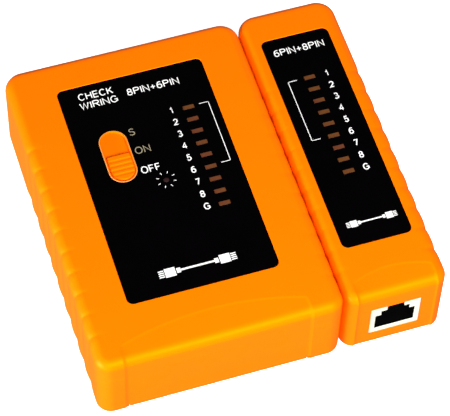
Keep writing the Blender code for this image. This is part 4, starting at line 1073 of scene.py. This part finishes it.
def make_label(unit, label, lamp):
    """The overlay: a rounded sheet with windows over the lamps and, on the main unit, the switch too."""
    node, top = f"{unit['name']}_label", unit["top"]
    levels = softened(top - 0.65 * MM, top - label.sunk, 0.04 * MM, 2)
    film = slab(f"{unit['name']}_overlay", middle_of(node)[:2], size_of(node)[:2], label.corner, levels, 12)
    ends = top - PAST, top + PAST
    window, levels = (lamp.window_width, lamp.window_height), [(z, 0) for z in ends]
    lamps = [middle_of(f"{unit['name']}_led_{name}")[:2] for name in LAMP_NAMES]
    holes = [slab("window", at, window, 0.15 * MM, levels, 4) for at in lamps]
    if unit is MAIN:
        holes.append(window_shape("lip", [(z, 0.56 * MM) for z in ends]))
        holes.append(rod("power", middle_of("power_led")[:2], lamp.power_radius, *ends))
    combine(film, "DIFFERENCE", *holes)
    finish_piece(film, unit["body"], ["label_black"], [node])


def bracket(points, width, z):
    """Square-cornered line: each bar runs on past its joints by half its width."""
    points = np.array(points, float)
    bars = []
    for start, end in zip(points[:-1], points[1:]):
        along = (end - start) / np.linalg.norm(end - start) * width / 2
        bars.append(ribbon((start - along, end + along), width, z))
    return bars


def plug_sign(middle, span, tall, z):
    """Pictogram of a cable with a plug at each end."""

    def bar(start, end, y, width):
        return ribbon(middle + np.array(((start * span, y * tall), (end * span, y * tall))), width * tall, z)

    cable_end = PLUG_STEPS[0][0]
    bars = [bar(-cable_end, cable_end, 0, 0.2)]
    for side in (-1, 1):
        bars += [bar(side * start, side * end, 0, width) for start, end, width in PLUG_STEPS]
        bars += [bar(side * 0.43, side * 0.5, pin, 0.12) for pin in PLUG_PINS]
    return bars


def sun_rays(middle, z):
    """Short bars round the power lamp."""
    count, start, end, width = RAYS
    bars = []
    for angle in (np.arange(count) + 0.5) * 2 * np.pi / count:
        out = np.array((math.cos(angle), math.sin(angle)))
        bars.append(ribbon((middle + start * out, middle + end * out), width, z))
    return bars


def make_print(label):
    """White print of both labels, and the paler print beside the switch's upper positions."""
    z = MAIN["top"] - label.sunk
    lamp_y = [middle_of(f"main_led_{name}")[1] for name in LAMP_NAMES]

    def captions(rows, weight):
        bands = []
        for words, middle, width in rows:
            bands += lettering(words, np.array(middle) * MM, label.letter, width * MM, weight, z)
        return bands

    def add(name, unit, bands, ink):
        piece = gathered(name, bands, unit["x"])
        finish_piece(piece, unit["body"], [ink], smooth=False)

    for unit in (MAIN, REMOTE):
        layout = PRINTS[unit["name"]]
        white = captions(layout["white"], WHITE_WEIGHT)
        lamp_x = middle_of(f"{unit['name']}_led_1")[0] - unit["x"]
        across, up = np.array(layout["digits"]) * MM
        for name, y in zip(LAMP_NAMES, lamp_y):
            white += lettering(name.upper(), (lamp_x + across, y + up), label.digit, 0, DIGIT_WEIGHT, z)
        (inner, outer), shifts = np.array(layout["bracket"]) * MM
        first, last = lamp_y[0] + shifts[0], lamp_y[LAST_BRACKETED] + shifts[1]
        white += bracket([(inner, first), (outer, first), (outer, last), (inner, last)], label.line, z)
        if unit is MAIN:
            white += sun_rays(middle_of("power_led")[:2] - (MAIN["x"], 0), z)
        middle, span, tall = layout["sign"]
        white += plug_sign(np.array(middle) * MM, span * MM, tall * MM, z)
        add(f"{unit['name']}_print", unit, white, "white_ink")
        if layout["pale"]:
            add("switch_position_print", unit, captions(layout["pale"], PALE_WEIGHT), "pale_ink")


# --- lamps ----------------------------------------------------------------------------------------


def make_lamps(unit, lamp):
    """A row of nine flat lamps, each a moulded block with a raised lens that fills its window."""
    nodes = [f"{unit['name']}_led_{name}" for name in LAMP_NAMES]
    window = np.array((lamp.window_width, lamp.window_height)) - 2 * SKIN_GAP
    face = unit["top"] - settings_of("label").sunk - 0.12 * MM
    made = []
    for node in nodes:
        (low, high), at = corners_of(node), middle_of(node)[:2]
        body = slab("body", at, (high - low)[:2], 0.25 * MM, softened(low[2], high[2], 0.15 * MM, 3), 4)
        levels = [(high[2] - 0.5 * MM, 0)] + levels_mm(face, (-0.1, 0), (0, -0.1))
        made.append(combine(body, "UNION", slab("lens", at, window, 0.2 * MM, levels, 4)))
    row = joined(f"{unit['name']}_lamp_row", made)
    finish_piece(row, unit["body"], ["lamp_red"], nodes)


def make_power_lamp(lamp):
    """A round lamp with a domed lens under its window."""
    low, high = corners_of("power_led")
    radius, lens, dome = (high - low)[0] / 2, lamp.power_radius - SKIN_GAP, 0.3 * MM
    face = MAIN["top"] - settings_of("label").sunk - 0.15 * MM
    levels = [(low[2], radius), (high[2] - 0.2 * MM, radius), (high[2], radius - 0.15 * MM), (high[2], lens)]
    levels += [(face - dome + dome * math.sin(a), lens * math.cos(a)) for a in np.linspace(0, 1.5, 6)]
    piece = turned("power_lamp", middle_of("power_led")[:2], levels)
    finish_piece(piece, "main_unit", ["power_lamp_red"], ["power_led"])


# --- power switch ---------------------------------------------------------------------------------


KNOB_HALF_WIDTH = 3.75 * MM
KNOB_LENGTH = 9.4 * MM
KNOB_SHIFT = 0.1 * MM
KNOB_REST_GAP = 0.5 * MM  # from the window's near end to the knob at rest
KNOB_CORNER = 0.3 * MM
KNOB_GROOVES = 4
KNOB_GROOVE_PITCH = 1.7 * MM
KNOB_GROOVE_RADIUS = 0.9 * MM
KNOB_GROOVE_RISE = 0.72 * MM  # of a groove's axis above the knob's top


def make_switch():
    """The slider plate under the window and the knob on it: square at the far end, round at the near end, with
    rounded finger grooves across its top."""
    (low, high), at = corners_of("switch_knob"), middle_of("switch_knob")
    plate_top = MAIN["top"] - SWITCH_DEPTH - 0.1 * MM
    levels = softened(low[2], plate_top, 0.1 * MM, 2)
    piece = slab("power_switch_knob", at[:2], (high - low)[:2], 0.4 * MM, levels, 4)
    middle_y = WINDOW_AT[1] - (WINDOW_SIZE[1] - KNOB_LENGTH) / 2 + KNOB_REST_GAP
    half_x, end, cut = KNOB_HALF_WIDTH, KNOB_LENGTH / 2, KNOB_CORNER
    turn = np.linspace(np.pi, 2 * np.pi, 25)
    near = np.stack([half_x * np.cos(turn), half_x * np.sin(turn) - end + half_x], -1)
    far = np.array(((half_x, end - cut), (half_x - cut, end)))
    outline = np.concatenate([near, far, far[::-1] * (-1, 1)]) + (at[0] + KNOB_SHIFT, middle_y)
    foot = plate_top - 0.2 * MM
    rise = softened(plate_top - 0.4 * MM, high[2], 0.5 * MM, 5)
    rise = [(z, growth) for z, growth in rise if z > foot or growth == 0]
    combine(piece, "UNION", swept("knob", outline, mitred(outline), rise))
    grooves, sides = [], (at[0] - 2 * half_x, at[0] + 2 * half_x)
    for index in range(KNOB_GROOVES):
        axis = middle_y + (index - (KNOB_GROOVES - 1) / 2) * KNOB_GROOVE_PITCH, high[2] + KNOB_GROOVE_RISE
        grooves.append(rod("groove", axis, KNOB_GROOVE_RADIUS, *sides, 48, "X"))
    combine(piece, "DIFFERENCE", *grooves)
    finish_piece(piece, "power_slider", CASING, ["switch_knob"])


# --- jacks ----------------------------------------------------------------------------------------


# Widths of the plug's body, its shoulder and the latch slot, and heights of their lower edges, in millimetres
MOUTHS = {
    "rj45": ((12.5, 9.0, 5.4), (2, 9.2, 11.3)),
    "rj11": ((9.8, 6.6, 4.2), (1.9, 8.6, 9.9)),
}
JACK_FINISHES = ("jack_white", "mouth_black")
# Deeper in than this rim, the mouth is painted near-black as painted shade.
MOUTH_RIM = 0.2 * MM  # how far the mouth stays white behind the face
ROOF_MARGIN = 0.4 * MM
CONTACT_PITCH = 1.02 * MM
CONTACT_THICKNESS = 0.32 * MM
CONTACT_SET_BACK = 4 * MM


def ends_along(node, side):
    """Y of a jack piece's face and back. Side is -1 at the near end and 1 at the far end."""
    low, high = corners_of(node)
    return (low[1], high[1]) if side < 0 else (high[1], low[1])


def make_jack(node, unit, side):
    """Housing with rounded edges, a stepped, chamfered plug mouth, and a roof over the latch slot; the mouth's
    inside and the roof are painted near-black as painted shade.
    """
    low, high = corners_of(node)
    at, size, front = (low + high) / 2, high - low, ends_along(node, side)[0]

    def behind(levels):
        return [(front - side * depth, growth) for depth, growth in levels]

    levels = behind(softened(0, size[1], 0.2 * MM, 3))
    piece = slab(f"{node}_housing", at[[0, 2]], size[[0, 2]], 0.3 * MM, levels, 4, "Y")
    widths, heights = MOUTHS[node.rsplit("_", 2)[1]]
    body, shoulder, latch = np.array(widths) * MM / 2
    floor, step, top = low[2] + np.array(heights) * MM
    over = high[2] + PAST
    right = (body, floor), (body, step), (shoulder, step), (shoulder, top), (latch, top), (latch, over)
    outline = np.concatenate([right, np.array(right[::-1]) * (-1, 1)]) + (at[0], 0)
    levels = levels_mm(0, (-1, 0.08), (0, 0.08), (0.08, 0), (0.25, 0)) + [(size[1] - 2 * MM, 0)]
    mouth = swept("mouth", outline, mitred(outline), behind(levels), "Y")
    depths = np.array([side * (front - polygon.center[1]) for polygon in mouth.data.polygons])
    # The housing is white. The mouth's faces deeper than the rim are painted near-black as painted shade.
    coat(piece, JACK_FINISHES)
    coat(mouth, JACK_FINISHES, depths > MOUTH_RIM)
    combine(piece, "DIFFERENCE", mouth)
    y = sorted((front - side * 1.2 * MM, front - side * (size[1] - MM)))
    half = latch + ROOF_MARGIN
    roof = block("roof", (at[0] - half, y[0], high[2] - 0.9 * MM), (at[0] + half, y[1], high[2] - 0.05 * MM))
    # The roof inside the mouth is painted near-black as painted shade.
    coat(roof, JACK_FINISHES, 1)
    combine(piece, "UNION", roof)
    finish_piece(piece, unit["body"], (), [node])
    make_contacts(node.replace("jack", "contacts"), unit, side)


def make_contacts(node, unit, side):
    """A comb of spring wires that rise from the mouth's floor towards its back, well behind the face."""
    low, high = corners_of(node)
    front, back = ends_along(node, side)
    front -= side * CONTACT_SET_BACK
    rise = 1.4 * CONTACT_THICKNESS
    section = np.array([(front, low[2]), (back, high[2] - rise), (back, high[2]), (front, low[2] + rise)])
    count, half, wires = 8 if "rj45" in node else 6, CONTACT_THICKNESS / 2, []
    for index in range(count):
        x = (low[0] + high[0]) / 2 + (index - (count - 1) / 2) * CONTACT_PITCH
        wires.append(swept("wire", section, np.zeros_like(section), [(x - half, 0), (x + half, 0)], "X"))
    finish_piece(joined(f"{node}_comb", wires), unit["body"], ["contact_gold"], [node])


# --- battery, door and wiring ---------------------------------------------------------------------


SNAP_SPREAD = 6.35 * MM  # from the battery's middle to each snap
SNAP_HEIGHT = 2.2 * MM
RIM_WIDTH, RIM_HEIGHT = 0.9 * MM, 0.25 * MM
# Snap profiles as (place, radius) in millimetres, counted from the jacket's end
MALE_SNAP = ((-0.3, 3.9), (0.3, 3.9), (0.4, 2.6), (1.2, 2.5), (1.7, 2.8), (2.1, 2.6), (2.2, 2.2))
FEMALE_SNAP = ((-0.3, 3.5), (0.9, 3.5), (1.4, 3.8), (2.0, 3.7), (2.2, 3.4), (2.2, 2.9), (0.6, 2.8))
DOOR_RIDGES = 5
DOOR_RIDGE_PITCH = 1.8 * MM
DOOR_RIDGE_SPAN = (-8 * MM, 6.4 * MM)
DOOR_FIRST_RIDGE = 4.95 * MM


def make_battery():
    """A 9 V block: rounded jacket, crimped rims at both ends, and its two turned snap terminals."""
    low, high = corners_of("battery_9v")
    at, size = ((low + high) / 2)[1:], (high - low)[1:]
    left, right = low[0], high[0] - SNAP_HEIGHT
    levels = softened(left, left + RIM_WIDTH, 0.3 * MM, 3)
    levels += [(left + RIM_WIDTH + 0.1 * MM, -RIM_HEIGHT), (right - RIM_WIDTH - 0.1 * MM, -RIM_HEIGHT)]
    levels += softened(right - RIM_WIDTH, right, 0.3 * MM, 3)
    piece = slab("battery_cell", at, size, 2.4 * MM, levels, 8, "X")
    finishes, snaps = ("battery_jacket", "can_steel"), []
    for shift, profile in ((-SNAP_SPREAD, MALE_SNAP), (SNAP_SPREAD, FEMALE_SNAP)):
        snaps.append(turned("snap", (at[0] + shift, at[1]), levels_mm(right, *profile), 36, "X"))
        coat(snaps[-1], finishes, 1)
    coat(piece, finishes)
    combine(piece, "UNION", *snaps)
    finish_piece(piece, "main_unit", (), ["battery_9v"])


def make_clip():
    """Snap clip: a rounded plate with two pockets for the terminals."""
    low, high = corners_of("battery_clip")
    at, size = ((low + high) / 2)[1:], (high - low)[1:]
    piece = slab("snap_clip", at, size, 3 * MM, softened(low[0], high[0], 0.8 * MM, 5), 8, "X")
    pockets, ends = [], (low[0] - PAST, low[0] + 2.5 * MM)
    for shift, radius in ((-SNAP_SPREAD, 3.1 * MM), (SNAP_SPREAD, 4.1 * MM)):
        pockets.append(rod("pocket", (at[0] + shift, at[1]), radius, *ends, 36, "X"))
    combine(piece, "DIFFERENCE", *pockets)
    finish_piece(piece, "main_unit", ["clip_black"], ["battery_clip"])


def make_door():
    """Sliding door: a plate with rounded edges, side tongues and finger ridges cut across its outer face."""
    low, high = corners_of("battery_door")
    at, size = ((low + high) / 2)[:2], (high - low)[:2]
    levels = softened(low[2], high[2], 0.25 * MM, 3)
    piece = slab("battery_slide_door", at, size - (2 * DOOR_TONGUE, 0), 0.5 * MM, levels, 5)
    start, end = low[1] + 1.7 * MM, high[1] - DOOR_TONGUE
    levels = ((DOOR_TONGUE_LOW, 0), (high[2] - 1e-5, 0))
    blade = slab("tongue", (at[0], (start + end) / 2), (size[0], end - start), 0.4 * MM, levels, 4)
    combine(piece, "UNION", blade)
    ridges = []
    west, east = (MAIN["x"] + x for x in DOOR_RIDGE_SPAN)
    levels = levels_mm(west, (0, -0.3), (0.3, 0)) + levels_mm(east, (-0.3, 0), (0, -0.3))
    for index in range(DOOR_RIDGES):
        y = low[1] + DOOR_FIRST_RIDGE + index * DOOR_RIDGE_PITCH
        ridges.append(slab("ridge", (y, low[2]), (0.95 * MM, 0.95 * MM), 0.47 * MM, levels, 8, "X"))
    combine(piece, "DIFFERENCE", *ridges)
    finish_piece(piece, "battery_cover", CASING, ["battery_door"])


# --- fasteners and boards -------------------------------------------------------------------------


SCREW_HEAD = (2.3 * MM, 1.6 * MM)  # radius and height
THREAD_PITCH = 0.9 * MM
THREAD = ((0, 0.9 * MM), (0.35, 0.9 * MM), (0.6, 1.2 * MM), (0.85, 0.9 * MM))  # place in a turn, radius
CAD_FINISHES = {
    "main_pcb": "board_green",
    "remote_pcb": "board_green",
    "counter_chip": "chip_epoxy",
    "timer_chip": "chip_epoxy",
    "timing_capacitor": "sleeve_blue",
    "switch_body": "can_steel",
    "lead_red": "sheath_red",
    "lead_black": "sheath_black",
}


def make_screw(node, unit):
    """Self-tapping pan-head screw, driven from below: domed head, ringed and pointed shank, cross recess."""
    (low, high), at = corners_of(node), middle_of(node)[:2]
    head, rise = SCREW_HEAD
    under, tip = low[2] + rise, high[2]
    dome = np.linspace(0.02, np.pi / 2, 8)
    levels = [(low[2] + rise * 0.55 * (1 - math.cos(a)), head * math.sin(a)) for a in dome]
    levels += [(low[2] + rise * 0.85, head), (under, head - 0.15 * MM), (under, 1.0 * MM)]
    start = under + 0.6 * MM
    for index in range(int((tip - 1.6 * MM - start) / THREAD_PITCH)):
        levels += [(start + (index + share) * THREAD_PITCH, radius) for share, radius in THREAD]
    levels += levels_mm(tip, (-1.5, 0.85), (0, 0.03))
    piece = turned(f"{node}_turned", at, levels, 28)
    recess = levels_mm(low[2], (-1, 0), (0.2, 0), (1, -0.2))
    arms = [slab("arm", at, np.array(size) * MM, 0.1 * MM, recess, 3) for size in ((2.6, 0.5), (0.5, 2.6))]
    combine(piece, "DIFFERENCE", *arms)
    finish_piece(piece, unit["body"], ["screw_steel"], [node])


def dress_cad_nodes():
    """Boards, chips, the capacitor, the switch's metal case and the leads keep their CAD shapes."""
    for node, finish in CAD_FINISHES.items():
        frame["nodes"][node].data.materials[0] = finish_of(finish)


# --- stage ----------------------------------------------------------------------------------------


# Direction from the origin, distance, width and height in metres, and the setting that holds the power
LIGHTS = {
    "overhead": ((0.05, -0.74, 0.67), 0.6, 0.5, 0.3, "key"),
    "left_side": ((-0.95, -0.25, 0.06), 0.8, 0.5, 0.3, "fill"),
    "far_side": ((0.4, 0.85, 0.2), 1.0, 1.0, 0.3, "back"),
}
CAMERA_AT = Vector((-0.1287, -0.36825, 0.6100))
CAMERA_RIGHT, CAMERA_UP = Vector((0.95253, -0.30371, 0.02125)), Vector((0.24396, 0.80317, 0.54351))
FLOOR_HALF = 3.0
FLOOR_GAP = 0.02 * MM  # between the floor and the object's underside


def area_light(name, toward, distance, width, height, power):
    """Rectangular lamp in a direction from the origin, aimed at it."""
    data = bpy.data.lights.new(name, "AREA")
    data.shape = "RECTANGLE"
    data.size, data.size_y, data.energy = width, height, power
    lamp = linked(name, data)
    direction = Vector(toward).normalized()
    lamp.rotation_euler = direction.to_track_quat("Z", "Y").to_euler()
    lamp.location = direction * distance
    return lamp


def make_stage(stage):
    """Backlit paper floor that no reflection shows, a light over the near end, a low one at the left, a weak low
    one at the far side that leaves no highlight, and the camera."""
    signs = np.array([(-1, -1), (1, -1), (1, 1), (-1, 1)])
    corners = np.column_stack([signs * FLOOR_HALF, np.full(4, -FLOOR_GAP)])
    mesh = bpy.data.meshes.new("floor")
    mesh.from_pydata(corners.tolist(), [], [(0, 1, 2, 3)])
    mesh.materials.append(finish_of("floor_paper"))
    floor = linked("floor", mesh)
    floor.visible_glossy = floor.visible_diffuse = False
    floor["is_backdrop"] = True
    for name, (*placing, power) in LIGHTS.items():
        light = area_light(name, *placing, getattr(stage, power))
        light.visible_glossy = name != "far_side"
    world = bpy.data.worlds.new("studio")
    world.use_nodes = True
    background = world.node_tree.nodes["Background"]
    background.inputs["Color"].default_value = (1, 1, 1, 1)
    background.inputs["Strength"].default_value = stage.world
    scene = bpy.context.scene
    scene.world = world
    scene.view_settings.view_transform = "Standard"
    data = bpy.data.cameras.new("camera")
    data.sensor_fit, data.sensor_width, data.lens, data.clip_start = "HORIZONTAL", 36, stage.focal, 0.01
    camera = linked("camera", data)
    axes = Matrix((CAMERA_RIGHT, CAMERA_UP, CAMERA_RIGHT.cross(CAMERA_UP))).transposed()
    camera.matrix_world = Matrix.Translation(CAMERA_AT) @ axes.to_4x4()
    scene.camera = camera


# --- operators ------------------------------------------------------------------------------------


class TESTER_OT_casings(Operator):
    """Make the four moulded shells"""

    bl_idname = "tester.casings"
    bl_label = "Casings"

    def execute(self, context):
        for make in (make_main_top, make_main_bottom, make_remote_top, make_remote_bottom):
            make(context.scene.tester_casing)
        return {"FINISHED"}


class TESTER_OT_labels(Operator):
    """Make the overlays and their print"""

    bl_idname = "tester.labels"
    bl_label = "Labels"

    def execute(self, context):
        scene = context.scene
        for unit in (MAIN, REMOTE):
            make_label(unit, scene.tester_label, scene.tester_lamp)
        make_print(scene.tester_label)
        return {"FINISHED"}


class TESTER_OT_lamps(Operator):
    """Make the lamp rows and the power lamp"""

    bl_idname = "tester.lamps"
    bl_label = "Lamps"

    def execute(self, context):
        for unit in (MAIN, REMOTE):
            make_lamps(unit, context.scene.tester_lamp)
        make_power_lamp(context.scene.tester_lamp)
        return {"FINISHED"}


class TESTER_OT_switch(Operator):
    """Make the sliding power switch"""

    bl_idname = "tester.switch"
    bl_label = "Power switch"

    def execute(self, context):
        make_switch()
        return {"FINISHED"}


class TESTER_OT_jacks(Operator):
    """Make the four modular jacks"""

    bl_idname = "tester.jacks"
    bl_label = "Jacks"

    def execute(self, context):
        for unit, ways, side in ((MAIN, 45, 1), (MAIN, 11, 1), (REMOTE, 45, -1), (REMOTE, 11, 1)):
            make_jack(f"{unit['name']}_rj{ways}_jack", unit, side)
        return {"FINISHED"}


class TESTER_OT_battery(Operator):
    """Make the battery, its clip and the sliding door"""

    bl_idname = "tester.battery"
    bl_label = "Battery and door"

    def execute(self, context):
        make_battery()
        make_clip()
        make_door()
        return {"FINISHED"}


class TESTER_OT_fasteners(Operator):
    """Make the case screws"""

    bl_idname = "tester.fasteners"
    bl_label = "Screws"

    def execute(self, context):
        for unit in (MAIN, REMOTE):
            for index in range(len(unit["posts"])):
                make_screw(f"{unit['name']}_case_screw_{index + 1}", unit)
        return {"FINISHED"}


class TESTER_OT_boards(Operator):
    """Dress the circuit boards, what is on them and the battery leads"""

    bl_idname = "tester.boards"
    bl_label = "Boards and leads"

    def execute(self, context):
        dress_cad_nodes()
        return {"FINISHED"}


class TESTER_OT_stage(Operator):
    """Make the floor, the lights and the camera"""

    bl_idname = "tester.stage"
    bl_label = "Stage"

    def execute(self, context):
        make_stage(context.scene.tester_stage)
        return {"FINISHED"}


OPERATORS = (
    TESTER_OT_casings,
    TESTER_OT_labels,
    TESTER_OT_lamps,
    TESTER_OT_switch,
    TESTER_OT_jacks,
    TESTER_OT_battery,
    TESTER_OT_fasteners,
    TESTER_OT_boards,
    TESTER_OT_stage,
)
GROUPS = {
    "tester_casing": TesterCasingSettings,
    "tester_label": TesterLabelSettings,
    "tester_lamp": TesterLampSettings,
    "tester_stage": TesterStageSettings,
}


class TESTER_PT_sidebar(Panel):
    """Lists the pieces in the 3D view's sidebar"""

    bl_idname = "TESTER_PT_sidebar"
    bl_label = "Cable tester"
    bl_space_type = "VIEW_3D"
    bl_region_type = "UI"
    bl_category = "Tester"

    def draw(self, context):
        for operator in OPERATORS:
            self.layout.operator(operator.bl_idname)


def register():
    for kind in (*GROUPS.values(), *OPERATORS, TESTER_PT_sidebar):
        bpy.utils.register_class(kind)
    for name, group in GROUPS.items():
        setattr(bpy.types.Scene, name, PointerProperty(type=group))


def unregister():
    for name in GROUPS:
        delattr(bpy.types.Scene, name)
    for kind in reversed((*GROUPS.values(), *OPERATORS, TESTER_PT_sidebar)):
        bpy.utils.unregister_class(kind)


def main():
    register()
    for operator in OPERATORS:
        group, name = operator.bl_idname.split(".")
        getattr(getattr(bpy.ops, group), name)()
    sizes = {"cad": cad_bounds, "visual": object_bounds()}
    {label: [list(corner) for corner in corners] for label, corners in sizes.items()}


if __name__ == "__main__":
    main()
